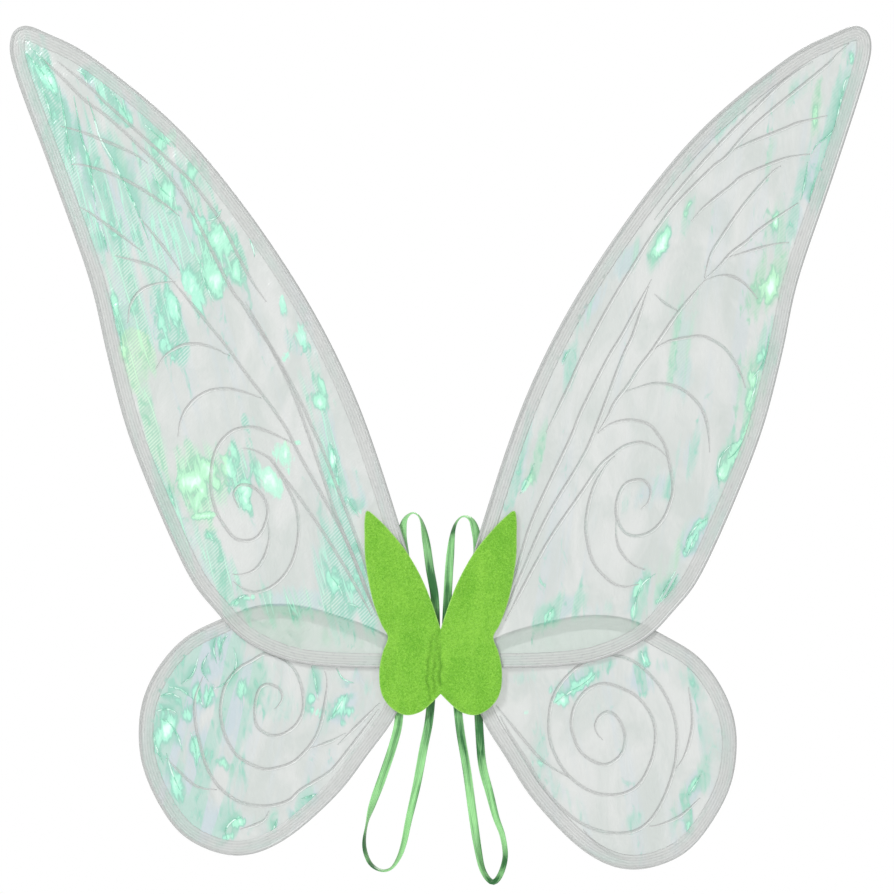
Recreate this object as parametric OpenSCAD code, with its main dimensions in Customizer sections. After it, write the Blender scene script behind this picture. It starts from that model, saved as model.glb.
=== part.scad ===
// Fairy wings: four film wings on wire loops, folding at a felt middle with two strap rings.
// Upright as worn: +Z up, the front faces -Y, the wearer is on +Y.
// The origin is the centre line of the back patch's rear face.

/* [Wire and film] */
// Diameter of the upper wings' wire
upper_wire_d = 2.0; // [1.6:0.1:2.2]
// Diameter of the lower wings' wire
lower_wire_d = 1.8; // [1.4:0.1:2.0]
// Thickness of the film
film_t = 0.25; // [0.2:0.05:0.5]
// Width of the hem inside the wire
hem_w = 10; // [6:1:12]
// Thickness of the hem
hem_t = 0.9; // [0.6:0.1:1.2]

/* [Wing shape] */
// How far the left upper wing's outer edge moves out
left_belly = -3; // [-8:1:8]
// How far the right upper wing's outer edge moves out
right_belly = 3; // [-8:1:8]
// How far the left lower wing is turned down, in degrees
left_droop = 0; // [-4:0.2:8]
// How far the right lower wing is turned down, in degrees
right_droop = 4.6; // [-4:0.2:8]

/* [Felt middle] */
// Thickness of the felt
felt_t = 2; // [1:0.5:2]
// Width of the back patch
patch_w = 68; // [60:2:72]
// Height of the back patch
patch_h = 44; // [40:2:44]
// Corner radius of the back patch
patch_r = 10; // [4:1:16]

/* [Straps] */
// Width of the elastic
strap_w = 6.4; // [5:0.2:7]
// Thickness of the elastic
strap_t = 1.2; // [0.8:0.1:1.2]

/* [Hidden] */

// Layers from the wearer's side to the front, as places along Y.
y_strap = -felt_t - strap_t / 2;
y_lower = -4.6;
y_upper = -7.2;
y_front = -8.9;

// The fold axis of each side, and the pivot of the lower wing.
fold_x = 12;
run_top = 22;
run_low = -12;
pivot_x = 18;
pivot_z = run_low;
tie_r = 1.6;
fit_gap = 0.05;
wire_gap = 0.1;

film_start = 22;
core_x = 5;
felt_centre_x = 6.5;
felt_lobe_x = 9;

// The straps turn about these heights, just above and just below the patch.
patch_top = 12;
arch_z = 14;
loop_z = -35;
strap_gap = 0.8;

smooth_steps = 6;
sides = 8;

// Upper wing: edge points out from the root run's top, over the tip and back to its foot.
// The third number is the share of the belly that a point takes.
UPPER = [
    [12, 22, 0], [31, 90, 0], [68, 197, 0], [118, 290, 0], [189, 384, 0], [261, 446, 0],
    [298, 466, 0], [316, 472, 0], [325, 462, 0], [321, 436, 0], [294, 358, 0.6], [267, 280, 0.8],
    [254, 222, 1], [235, 154, 1], [195, 61, 1], [172, 30, 1], [152, 9, 0.8], [120, -6, 0.5],
    [91, -11, 0.2], [47, -12.5, 0], [24, -12, 0], [12, -12, 0]
];

// Lower wing, not drooped: from the pivot over the top edge, round the outside and back.
LOWER = [
    [19, -9.6], [24, -3], [42, 11.5], [74, 24], [107, 33], [139, 33], [167, 22], [193, 9],
    [213, -13], [225, -38], [228, -64], [225, -88], [214, -114], [199, -136], [182, -148],
    [160, -155], [139, -153], [117, -142], [96, -125], [74, -103], [55, -77], [37, -53],
    [25, -27], [19, -14.4]
];

// Half of the felt butterfly: top notch, wing tip, waist, tail lobe, bottom notch.
FELT = [
    [0, 16], [7, 37], [15, 56], [26, 75], [39, 91], [52, 104], [57, 102], [57.5, 90], [57, 68],
    [52, 40], [45, 20], [40, 10], [44, -2], [46.5, -16], [45, -32], [38, -43], [27, -49],
    [16, -47], [8, -41], [0, -33]
];

// Strap routes, as x, z, y and turn; at turn 0 the band lies flat, at 90 it stands edge-on.
ARCH_LEFT = [
    [-20, 14.8, 0, 0], [-21, 30, 0, 0], [-24, 50, 0, 0], [-27, 72, 0, 0], [-29, 88, 0, 10],
    [-27, 99, 0, 60], [-21, 104, 0, 90], [-15, 99, 0, 80], [-11, 82, 0, 30],
    [-8, 61, 0, 10], [-4.5, 40, 0, 0], [-3.5, 14.8, 0, 0]
];
ARCH_RIGHT = [
    [4, 14.8, 0, 0], [5, 35, 0, 0], [7, 68, 0, 20], [10, 92, 0, 70], [16, 101, 0, 90],
    [23, 99, 0, 60], [27, 88, 0, 10], [28, 72, 0, 0], [26, 45, 0, 0], [25, 14.8, 0, 0]
];
LOOP_LEFT = [
    [-31, -35.8, 0, 0], [-32, -55, 0, 0], [-36, -72, 0, 0], [-44, -96, -1, 0],
    [-52, -118, -1, 20], [-56, -132, -2, 80], [-58, -148, -2, 100], [-54, -161, -2, 90],
    [-46, -167, -2, 90], [-38, -166, -2, 90], [-32, -158, -2, 80], [-28, -147, -2, 40],
    [-24, -128, -1, 0], [-18, -102, -1, 0], [-13, -75, 0, 0], [-9, -55, 0, 0],
    [-7, -35.8, 0, 0]
];
LOOP_RIGHT = [
    [12, -35.8, 0, 0], [15, -62, 0, 0], [20, -92, -1, 0], [24, -122, -1, 0],
    [28, -149, -2, 30], [32, -167, -2, 80], [39, -176, -2, 90], [45, -171, -2, 90],
    [49, -157, -2, 90], [47, -141, -2, 60], [42, -127, -1, 10], [37, -108, -1, 0],
    [32, -89, 0, 0], [30, -70, 0, 0], [28, -35.8, 0, 0]
];

// A point of a smooth curve through p0..p3, between p1 and p2.
function curve_at(p0, p1, p2, p3, t) =
    0.5 * (2 * p1 + (p2 - p0) * t + (2 * p0 - 5 * p1 + 4 * p2 - p3) * t * t
        + (3 * p1 - p0 - 3 * p2 + p3) * t * t * t);

// A smooth open curve through all points.
function smooth(points, steps) =
    let (last = len(points) - 1)
    [
        for (i = [0 : last - 1])
            for (s = [0 : steps - 1])
                curve_at(
                    points[max(i - 1, 0)], points[i], points[i + 1], points[min(i + 2, last)],
                    s / steps
                ),
        points[last]
    ];

function unit(v) = v / norm(v);
function way(path, i) = unit(path[min(i + 1, len(path) - 1)] - path[max(i - 1, 0)]);
function turned(p, centre, angle) =
    let (d = p - centre)
    centre + [d[0] * cos(angle) + d[1] * sin(angle), d[1] * cos(angle) - d[0] * sin(angle)];

function upper_edge(side) =
    let (
        belly = side == "left" ? left_belly : right_belly,
        points = [for (p = UPPER) [p[0] + p[2] * belly, p[1]]]
    )
    smooth(points, smooth_steps);

function lower_edge(side) =
    let (droop = side == "left" ? left_droop : right_droop)
    smooth([for (p = LOWER) turned(p, [pivot_x, pivot_z], droop)], smooth_steps);

// Draws children on the left as the mirror image of the right.
module on_side(side) {
    mirror([side == "left" ? 1 : 0, 0, 0])
        children();
}

// A flat sheet whose outline is drawn in X and Z, centred on place y.
module sheet(y, thickness) {
    translate([0, y + thickness / 2, 0])
        rotate([90, 0, 0])
            linear_extrude(thickness)
                children();
}

// Joins rings of points, all the same size, into one closed tube.
module skin(rings) {
    n = len(rings[0]);
    last = len(rings) - 1;
    points = [for (ring = rings) each ring];
    walls = [
        for (i = [0 : last - 1])
            for (j = [0 : n - 1])
                let (a = i * n + j, b = i * n + (j + 1) % n)
                each [[a, b, a + n], [b, b + n, a + n]]
    ];
    ends = [[for (j = [n - 1 : -1 : 0]) j], [for (j = [0 : n - 1]) last * n + j]];
    polyhedron(points, concat(walls, ends));
}

// A round wire along a flat path in X and Z.
module wire(path, radius, y) {
    skin([
        for (i = [0 : len(path) - 1])
            let (d = way(path, i), across = [-d[1], d[0]])
            [
                for (j = [0 : sides - 1])
                    let (a = 360 * j / sides, r = radius * cos(a), h = radius * sin(a))
                    [path[i][0] + across[0] * r, y + h, path[i][1] + across[1] * r]
            ]
    ]);
}

// A flat elastic band along a route; each point holds x, z, y and turn.
module band(route) {
    path = smooth(route, 2);
    skin([
        for (i = [0 : len(path) - 1])
            let (
                p = path[i],
                d = way(path, i),
                flat = unit([d[0], 0, d[1]]),
                wide = [-flat[2] * cos(p[3]), sin(p[3]), flat[0] * cos(p[3])],
                thick = cross(flat, wide)
            )
            [
                for (j = [0 : sides - 1])
                    let (a = 360 * (j + 0.5) / sides, c = cos(a), s = sin(a))
                    [p[0], p[2] + y_strap, p[1]]
                        + wide * (c > 0 ? 1 : -1) * pow(abs(c), 0.35) * strap_w / 2
                        + thick * (s > 0 ? 1 : -1) * pow(abs(s), 0.6) * strap_t / 2
            ]
    ]);
}

module back_patch() {
    color("yellowgreen")
        sheet(-felt_t / 2, felt_t)
            translate([0, patch_top - patch_h / 2])
                offset(r = patch_r)
                    square([patch_w - 2 * patch_r, patch_h - 2 * patch_r], center = true);
}

module hub_core() {
    low = -26;
    high = 7;
    back = y_strap - strap_t / 2;
    color("olivedrab")
        translate([-core_x, y_front, low])
            cube([2 * core_x, back - y_front, high - low]);
}

// The felt butterfly's whole outline.
module felt_shape() {
    half = smooth(FELT, 4);
    last = len(half) - 1;
    polygon(concat(half, [for (i = [last - 1 : -1 : 1]) [-half[i][0], half[i][1]]]));
}

module felt_centre() {
    color("yellowgreen")
        sheet(y_front - felt_t / 2, felt_t)
            intersection() {
                felt_shape();
                square([2 * felt_centre_x, 300], center = true);
            }
}

module felt_lobe(side) {
    color("yellowgreen")
        on_side(side)
            sheet(y_front - felt_t / 2, felt_t)
                intersection() {
                    felt_shape();
                    translate([felt_lobe_x, -150]) square([100, 300]);
                }
}

// A folded cloth tape: a loop round the wire's root run and a tail sewn to the patch.
module binding(side) {
    height = 16;
    loop_r = 1.6;
    color("olive")
        on_side(side)
            translate([fold_x, 0, -height / 2])
                difference() {
                    union() {
                        translate([0, y_upper, 0])
                            cylinder(r = loop_r, h = height, $fn = 32);
                        translate([0.6, y_upper + 1, 0])
                            cube([1.4, -felt_t - y_upper - 1, height]);
                        translate([0.6, -felt_t - 1, 0])
                            cube([4.4, 1, height]);
                    }
                    translate([0, y_upper, -1])
                        cylinder(r = upper_wire_d / 2 + fit_gap, h = height + 2, $fn = 32);
                }
}

// The sewn stretches of one strap ring, from x_top above the patch to x_low below it.
module strap_run(x_top, x_low) {
    top = arch_z - strap_gap;
    low = loop_z + strap_gap;
    half = strap_w / 2;
    sheet(y_strap, strap_t)
        polygon([[x_top - half, top], [x_top + half, top], [x_low + half, low], [x_low - half, low]]);
}

module strap_sewn(arch, loop) {
    color("mediumseagreen") {
        strap_run(arch[0][0], loop[0][0]);
        strap_run(arch[len(arch) - 1][0], loop[len(loop) - 1][0]);
    }
}

// One bar tack across a strap run.
module tack(x, z) {
    tack_t = 0.15;
    translate([x, y_strap - strap_t / 2 - tack_t / 2, z])
        cube([5, tack_t, 1.5], center = true);
}

module strap_tacks() {
    high = 10;
    low = -29;
    share_high = (arch_z - high) / (arch_z - loop_z);
    share_low = (arch_z - low) / (arch_z - loop_z);
    runs = [
        [ARCH_LEFT[0][0], LOOP_LEFT[0][0]],
        [ARCH_LEFT[len(ARCH_LEFT) - 1][0], LOOP_LEFT[len(LOOP_LEFT) - 1][0]],
        [ARCH_RIGHT[0][0], LOOP_RIGHT[0][0]],
        [ARCH_RIGHT[len(ARCH_RIGHT) - 1][0], LOOP_RIGHT[len(LOOP_RIGHT) - 1][0]]
    ];
    color("darkgreen")
        for (run = runs) {
            tack(run[0] + (run[1] - run[0]) * share_high, high);
            tack(run[0] + (run[1] - run[0]) * share_low, low);
        }
}

// The upper wing's wire, whose straight root run is the hinge of the fold.
module upper_frame(side) {
    r = upper_wire_d / 2;
    color("silver")
        on_side(side) {
            wire(upper_edge(side), 0.97 * r, y_upper);
            translate([fold_x, y_upper, run_low])
                cylinder(r = r, h = run_top - run_low, $fn = 32);
            for (z = [run_low, run_top])
                translate([fold_x, y_upper, z])
                    sphere(r = r, $fn = 32);
        }
}

// The lower wing's wire, with an eye round the tie.
module lower_frame(side) {
    r = lower_wire_d / 2;
    color("silver")
        on_side(side) {
            wire(lower_edge(side), 0.97 * r, y_lower);
            translate([pivot_x, y_lower, pivot_z])
                rotate([90, 0, 0])
                    rotate_extrude($fn = 32)
                        translate([tie_r + fit_gap + r, 0])
                            circle(r = r, $fn = 24);
        }
}

// The part of a wing's area outside film_start.
module past_root() {
    intersection() {
        children();
        translate([film_start, -250]) square([400, 800]);
    }
}

module hem(edge, wire_d, y) {
    sheet(y, hem_t)
        past_root()
            difference() {
                offset(delta = -wire_d / 2 - wire_gap) polygon(edge);
                offset(delta = -hem_w) polygon(edge);
            }
}

module film(edge, y) {
    sheet(y, film_t)
        past_root()
            offset(delta = -hem_w) polygon(edge);
}

module upper_hem(side) {
    color("lightgray")
        on_side(side) hem(upper_edge(side), upper_wire_d, y_upper);
}

module upper_film(side) {
    color("aquamarine", 0.4)
        on_side(side) film(upper_edge(side), y_upper);
}

module lower_hem(side) {
    color("lightgray")
        on_side(side) hem(lower_edge(side), lower_wire_d, y_lower);
}

module lower_film(side) {
    color("paleturquoise", 0.4)
        on_side(side) film(lower_edge(side), y_lower);
}

// Whipped thread: a sleeve on the upper wing's wire, a stub through the eye and a knot.
module root_tie(side) {
    sleeve_r = 1.5;
    sleeve_l = 5;
    knot_r = 2.5;
    knot_t = 0.4;
    stub_from = y_upper + sleeve_r - 0.3;
    stub_to = y_lower + lower_wire_d / 2 + 0.1;
    color("darkgreen")
        on_side(side) {
            difference() {
                union() {
                    translate([pivot_x - sleeve_l / 2, y_upper, run_low])
                        rotate([0, 90, 0])
                            cylinder(r = sleeve_r, h = sleeve_l, $fn = 32);
                    translate([pivot_x, stub_to, pivot_z])
                        rotate([90, 0, 0])
                            cylinder(r = tie_r, h = stub_to - stub_from, $fn = 32);
                }
                translate([pivot_x - sleeve_l, y_upper, run_low])
                    rotate([0, 90, 0])
                        cylinder(r = upper_wire_d / 2 + 3 * fit_gap, h = 2 * sleeve_l, $fn = 32);
            }
            translate([pivot_x, stub_to + knot_t, pivot_z])
                rotate([90, 0, 0])
                    cylinder(r = knot_r, h = knot_t, $fn = 32);
        }
}

module strap(route) {
    color("mediumseagreen")
        band(route);
}

back_patch();
hub_core();
felt_centre();
binding("left");  // binding_left
binding("right");  // binding_right
strap_sewn(ARCH_LEFT, LOOP_LEFT);  // strap_sewn_left
strap_sewn(ARCH_RIGHT, LOOP_RIGHT);  // strap_sewn_right
strap_tacks();
upper_frame("left");  // upper_frame_left
upper_frame("right");  // upper_frame_right
upper_hem("left");  // upper_hem_left
upper_hem("right");  // upper_hem_right
upper_film("left");  // upper_film_left
upper_film("right");  // upper_film_right
felt_lobe("left");  // felt_lobe_left
felt_lobe("right");  // felt_lobe_right
root_tie("left");  // root_tie_left
root_tie("right");  // root_tie_right
lower_frame("left");  // lower_frame_left
lower_frame("right");  // lower_frame_right
lower_hem("left");  // lower_hem_left
lower_hem("right");  // lower_hem_right
lower_film("left");  // lower_film_left
lower_film("right");  // lower_film_right
strap(ARCH_LEFT);  // strap_arch_left
strap(ARCH_RIGHT);  // strap_arch_right
strap(LOOP_LEFT);  // strap_loop_left
strap(LOOP_RIGHT);  // strap_loop_right
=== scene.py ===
import math
import random

import bpy
import numpy as np
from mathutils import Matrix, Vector, noise
from mathutils.geometry import delaunay_2d_cdt
from mathutils.kdtree import KDTree


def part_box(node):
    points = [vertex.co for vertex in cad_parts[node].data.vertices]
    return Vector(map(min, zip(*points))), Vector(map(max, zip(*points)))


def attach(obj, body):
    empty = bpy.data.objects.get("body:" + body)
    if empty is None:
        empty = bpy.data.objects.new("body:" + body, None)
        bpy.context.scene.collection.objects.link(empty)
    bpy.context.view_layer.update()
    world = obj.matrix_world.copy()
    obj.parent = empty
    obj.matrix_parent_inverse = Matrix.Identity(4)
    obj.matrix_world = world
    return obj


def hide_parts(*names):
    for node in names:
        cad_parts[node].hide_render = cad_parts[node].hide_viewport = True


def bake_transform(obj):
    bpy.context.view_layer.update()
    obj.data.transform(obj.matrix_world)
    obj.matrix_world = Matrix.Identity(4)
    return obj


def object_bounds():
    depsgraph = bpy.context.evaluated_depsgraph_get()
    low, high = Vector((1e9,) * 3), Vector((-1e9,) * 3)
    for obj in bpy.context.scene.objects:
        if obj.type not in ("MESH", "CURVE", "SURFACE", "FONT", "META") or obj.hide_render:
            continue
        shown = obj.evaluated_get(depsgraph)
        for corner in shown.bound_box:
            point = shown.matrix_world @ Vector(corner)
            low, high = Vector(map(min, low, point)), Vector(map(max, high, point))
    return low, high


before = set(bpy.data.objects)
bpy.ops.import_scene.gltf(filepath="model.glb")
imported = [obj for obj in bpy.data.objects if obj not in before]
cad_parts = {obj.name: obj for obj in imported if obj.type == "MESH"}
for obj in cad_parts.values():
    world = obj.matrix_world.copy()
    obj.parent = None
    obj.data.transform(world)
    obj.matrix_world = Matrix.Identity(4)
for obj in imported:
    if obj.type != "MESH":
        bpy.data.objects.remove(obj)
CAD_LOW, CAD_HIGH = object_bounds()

MM = 0.001
SIDES = {"left": -1, "right": 1}


def middle_y(node):
    """The place of a flat CAD node's middle plane along Y."""
    low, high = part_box(node)
    return (low.y + high.y) / 2


# Layers along Y, taken from the CAD nodes.
Y_UPPER = middle_y("upper_film_right")
Y_LOWER = middle_y("lower_film_right")
Y_FELT = middle_y("felt_centre")
Y_STRAP = middle_y("strap_sewn_left")
Y_PATCH = middle_y("back_patch")

STRAP_WIDTH = 6.4 * MM
STRAP_THICK = 1.2 * MM
FELT_THICK = 2 * MM
HEM_WIDTH = 10 * MM
WIRE_R = {"upper": 1.0 * MM, "lower": 0.9 * MM}
ARCH_HINGE_Z = 14 * MM
LOOP_HINGE_Z = -35 * MM
FOLD_X = 12 * MM
TIE_X, TIE_Z = 18 * MM, -12 * MM
# How far out from the middle each wing's film and hem begin.
FILM_START = {"upper": 22 * MM, "lower": 24 * MM}
HEM_START = 21.5 * MM


# ---------------------------------------------------------------- camera

def make_camera():
    """The camera straight in front of the wings, far enough away to keep them nearly flat."""
    middle = (CAD_LOW + CAD_HIGH) / 2
    away, width_seen = 3.0, 0.6775
    right, up = 4.9 * MM, 5.7 * MM
    data = bpy.data.cameras.new("camera")
    camera = bpy.data.objects.new("camera", data)
    bpy.context.scene.collection.objects.link(camera)
    camera.location = (middle.x + right, Y_UPPER - away, middle.z + up)
    camera.rotation_euler = (math.radians(90), 0, 0)
    data.sensor_width = 36
    data.lens = data.sensor_width * away / width_seen
    data.clip_start, data.clip_end = 0.05, 100
    bpy.context.scene.camera = camera


make_camera()


# ---------------------------------------------------------------- shape helpers

def smooth(points, steps):
    """A smooth open curve through all the points."""
    p = np.asarray(points, float)
    p = np.vstack([p[:1], p, p[-1:]])
    t = (np.arange(steps) / steps)[:, None]
    spans = [
        0.5 * (2 * b + (c - a) * t + (2 * a - 5 * b + 4 * c - d) * t**2
               + (3 * b - a - 3 * c + d) * t**3)
        for a, b, c, d in zip(p, p[1:], p[2:], p[3:])
    ]
    return np.vstack(spans + [p[-1:]])


def lengths(path):
    """The distance along a path at each of its points."""
    steps = np.linalg.norm(np.diff(path, axis=0), axis=1)
    return np.concatenate([[0], np.cumsum(steps)])


def resample(path, step):
    """The same path with its points about one step apart."""
    path = np.asarray(path, float)
    far = lengths(path)
    count = max(2, int(round(far[-1] / step)) + 1)
    at = np.linspace(0, far[-1], count)
    return np.stack([np.interp(at, far, path[:, k]) for k in range(path.shape[1])], axis=1)


def directions(path, closed=False):
    """Unit tangents along a path."""
    if closed:
        d = np.roll(path, -1, axis=0) - np.roll(path, 1, axis=0)
    else:
        d = np.gradient(path, axis=0)
    return d / np.maximum(np.linalg.norm(d, axis=1), 1e-12)[:, None]


def upright(path, y):
    """A path in X and Z as points in space; y is one number or one for each point."""
    return np.stack([path[:, 0], np.broadcast_to(y, len(path)), path[:, 1]], axis=1)


def drawn(points, sign):
    """A smooth curve through points given in mm, out from the middle and up."""
    return smooth(np.array(points, float) * MM * np.array([sign, 1]), 8)


def tree_of(points):
    """A search tree over points in X and Z."""
    tree = KDTree(len(points))
    for i, p in enumerate(points):
        tree.insert((p[0], 0, p[1]), i)
    tree.balance()
    return tree


def gap_to(tree, x, z):
    """The distance from a place to a tree's nearest point, and that point's number."""
    _, index, distance = tree.find((x, 0, z))
    return distance, index


def inside(points, outline):
    """Which points are inside a closed outline."""
    x, z = points[:, 0][:, None], points[:, 1][:, None]
    a, b = outline, np.roll(outline, -1, axis=0)
    span = (a[:, 1] > z) != (b[:, 1] > z)
    slope = (b[:, 0] - a[:, 0]) / np.where(b[:, 1] == a[:, 1], 1e-12, b[:, 1] - a[:, 1])
    hit = x < slope * (z - a[:, 1]) + a[:, 0]
    return (span & hit).sum(axis=1) % 2 == 1


def inward_of(path, outline, closed=False):
    """Unit vectors across a path that runs along an outline, towards the outline's inside."""
    ahead = directions(path, closed)
    inward = np.stack([-ahead[:, 1], ahead[:, 0]], axis=1)
    k = len(path) // 2
    probe = path[k] + inward[k] * 0.5 * MM
    return inward if inside(probe[None, :], outline)[0] else -inward


def filled(outline, step, extra=()):
    """A triangle net inside an outline: its points and faces, the outline's points first."""
    low, high = outline.min(axis=0), outline.max(axis=0)
    rows = np.arange(low[1], high[1], step * 0.866)
    grid = np.array([
        (x + (step / 2 if k % 2 else 0), z)
        for k, z in enumerate(rows) for x in np.arange(low[0], high[0], step)
    ])
    fixed = np.vstack([outline, *extra])
    tree = tree_of(fixed)
    grid = [p for p in grid[inside(grid, outline)] if gap_to(tree, *p)[0] > 0.65 * step]
    points = [Vector(p) for p in [*fixed, *grid]]
    ring = list(range(len(outline)))
    verts, _, faces, _, _, _ = delaunay_2d_cdt(points, [], [ring], 1, 1e-7)
    return np.array([tuple(v) for v in verts]), faces


def mesh_piece(name, verts, faces, material, attributes=None):
    """A smooth-shaded mesh object, with float or vector attributes on its points."""
    mesh = bpy.data.meshes.new(name)
    mesh.from_pydata([tuple(map(float, v)) for v in verts], [], [tuple(map(int, f)) for f in faces])
    mesh.polygons.foreach_set("use_smooth", [True] * len(mesh.polygons))
    for key, values in (attributes or {}).items():
        values = np.asarray(values, np.float32)
        if values.ndim == 1:
            mesh.attributes.new(key, "FLOAT", "POINT").data.foreach_set("value", values)
        else:
            layer = mesh.attributes.new(key, "FLOAT_VECTOR", "POINT")
            layer.data.foreach_set("vector", values.ravel())
    mesh.materials.append(material)
    mesh.update()
    piece = bpy.data.objects.new(name, mesh)
    bpy.context.scene.collection.objects.link(piece)
    return piece


class Shape:
    """Points and faces of several parts that make one mesh."""

    def __init__(self):
        self.verts, self.faces, self.values = [], [], {}
        self.count = 0

    def add(self, verts, faces, **values):
        """Adds points, the faces between them, and named values for each point."""
        verts = np.asarray(verts, float)
        self.verts.append(verts)
        self.faces += [[i + self.count for i in f] for f in faces]
        self.count += len(verts)
        for key, value in values.items():
            self.values.setdefault(key, []).append(np.asarray(value, float))

    def rings(self, rings, closed=False, **values):
        """Joins rings of points, all the same size, into a tube."""
        rings = np.asarray(rings, float)
        many, size = rings.shape[:2]
        faces = []
        for i in range(many if closed else many - 1):
            a, b = i * size, ((i + 1) % many) * size
            faces += [[a + j, a + (j + 1) % size, b + (j + 1) % size, b + j] for j in range(size)]
        if not closed:
            faces += [list(range(size))[::-1], [(many - 1) * size + j for j in range(size)]]
        self.add(rings.reshape(-1, 3), faces, **values)

    def piece(self, name, material):
        """Makes the mesh object."""
        values = {k: np.concatenate(v) for k, v in self.values.items()}
        return mesh_piece(name, np.vstack(self.verts), self.faces, material, values)


def round_rings(path, radius, sides=8, closed=False):
    """Rings of a round tube along a path in space; the radius may vary along it."""
    path = np.asarray(path, float)
    ahead = directions(path, closed)
    radius = np.broadcast_to(np.asarray(radius, float), (len(path),))
    up = np.array([0.0, 1.0, 0.0])
    if abs(ahead[0] @ up) > 0.9:
        up = np.array([1.0, 0.0, 0.0])
    angle = 2 * math.pi * np.arange(sides) / sides
    rings = []
    for p, d, r in zip(path, ahead, radius):
        up = up - d * (up @ d)
        up = up / np.linalg.norm(up)
        across = np.cross(d, up)
        rings.append(p + r * (np.cos(angle)[:, None] * across + np.sin(angle)[:, None] * up))
    return rings


def belongs(piece, body, slot, *nodes):
    """Hangs a piece on the body it rides on and hides the CAD nodes it stands for. The slot is not
    used.
    """
    if nodes:
        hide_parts(*nodes)
    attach(piece, body)


# ---------------------------------------------------------------- node helpers

class Nodes:
    """Builds one material round its Principled shader."""

    def __init__(self, name):
        self.material = bpy.data.materials.new(name)
        self.material.use_nodes = True
        self.tree = self.material.node_tree
        self.shader = self.tree.nodes["Principled BSDF"]

    def put(self, socket, value):
        """Links a socket to another one, or sets its own value."""
        if isinstance(value, bpy.types.NodeSocket):
            self.tree.links.new(value, socket)
        elif value is not None:
            socket.default_value = value

    def node(self, kind, inputs=None, **settings):
        """A new node with its settings and inputs."""
        made = self.tree.nodes.new(kind)
        for key, value in settings.items():
            setattr(made, key, value)
        for key, value in (inputs or {}).items():
            self.put(made.inputs[key], value)
        return made

    def finish(self, **inputs):
        """Fills in the shader's sockets and gives the material."""
        for key, value in inputs.items():
            self.put(self.shader.inputs[key.replace("_", " ")], value)
        return self.material

    def place(self):
        """Each point's place on its object."""
        return self.node("ShaderNodeTexCoord").outputs["Object"]

    def attribute(self, name, output="Fac"):
        """A value that the mesh has on its points."""
        return self.node("ShaderNodeAttribute", attribute_name=name).outputs[output]

    def part(self, vector, axis):
        """A vector's X, Y or Z."""
        return self.node("ShaderNodeSeparateXYZ", {0: vector}).outputs[axis]

    def math(self, operation, a, b=None, c=None, clamp=False):
        inputs = {0: a, 1: b, 2: c}
        return self.node("ShaderNodeMath", inputs, operation=operation, use_clamp=clamp).outputs[0]

    def plus(self, a, b):
        return self.math("ADD", a, b)

    def minus(self, a, b):
        return self.math("SUBTRACT", a, b)

    def times(self, a, b):
        return self.math("MULTIPLY", a, b)

    def times_plus(self, a, b, c, clamp=False):
        return self.math("MULTIPLY_ADD", a, b, c, clamp)

    def larger(self, a, b):
        return self.math("MAXIMUM", a, b)

    def noise(self, vector, scale, detail=3.0, rough=0.5, twist=0.0):
        """Noise from 0 to 1; scale is one number, or three for a noise drawn out in places."""
        if isinstance(scale, tuple):
            inputs = {"Vector": vector, "Scale": scale}
            vector, scale = self.node("ShaderNodeMapping", inputs).outputs[0], 1.0
        inputs = {"Vector": vector, "Scale": scale, "Detail": detail, "Roughness": rough,
                  "Distortion": twist}
        return self.node("ShaderNodeTexNoise", inputs).outputs[0]

    def step(self, value, low, high, out_low=0.0, out_high=1.0):
        """A smooth step from out_low to out_high while the value goes from low to high."""
        inputs = {"Value": value, "From Min": low, "From Max": high,
                  "To Min": out_low, "To Max": out_high}
        made = self.node("ShaderNodeMapRange", inputs, interpolation_type="SMOOTHSTEP")
        return made.outputs[0]

    def vary(self, noise_value, low, high):
        """From low to high over the middle of a noise's range."""
        return self.step(noise_value, 0.3, 0.7, low, high)

    def mix(self, share, a, b):
        """A colour between two, each a socket or three numbers."""
        made = self.node("ShaderNodeMix", data_type="RGBA")
        for number, value in ((0, share), (6, a), (7, b)):
            if isinstance(value, tuple):
                value = (*value, 1.0)
            self.put(made.inputs[number], value)
        return made.outputs[2]

    def lines(self, vector, direction, pitch, wander=None):
        """Fine parallel lines, from 0 to 1, one pitch apart."""
        inputs = {0: vector, 1: direction}
        along = self.node("ShaderNodeVectorMath", inputs, operation="DOT_PRODUCT").outputs["Value"]
        phase = self.times(along, 2 * math.pi / pitch)
        if wander is not None:
            phase = self.plus(phase, wander)
        return self.times_plus(self.math("SINE", phase), 0.5, 0.5)

    def bump(self, height, strength, distance):
        """The normal of a surface that is raised by height."""
        inputs = {"Height": height, "Strength": strength, "Distance": distance}
        return self.node("ShaderNodeBump", inputs).outputs[0]


# ---------------------------------------------------------------- materials

def elastic_material():
    """Satin elastic: fine ribs along the band, painted long soft highlights and painted shade where
    the strap lies in shade.
    """
    n = Nodes("elastic")
    band = n.attribute("band", "Vector")
    ribs = n.lines(band, (0, 1, 0), 1.28 * MM)
    weave = n.lines(band, (1, 0, 0), 0.8 * MM)
    blotch = n.noise(band, 90, 3, 0.6)
    # shine places the painted long soft highlights.
    shine = n.noise(band, (18, 260, 1), 2, 0.5, 0.4)
    tone = n.times_plus(ribs, 0.22, n.times(blotch, 0.25))
    tone = n.times_plus(n.step(shine, 0.30, 0.62), 0.62, tone)
    # The band's third value is its painted shade, which darkens the colour.
    tone = n.times_plus(n.part(band, "Z"), -0.75, tone, clamp=True)
    return n.finish(
        Base_Color=n.mix(tone, (0.016, 0.135, 0.028), (0.35, 0.76, 0.31)),
        Roughness=n.vary(blotch, 0.30, 0.46),
        Normal=n.bump(n.times_plus(weave, 0.35, ribs), 0.5, 0.12 * MM),
        Sheen_Weight=0.4, Sheen_Roughness=0.35, Sheen_Tint=(0.75, 1.0, 0.6, 1),
        Specular_IOR_Level=0.6,
    )


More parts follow.
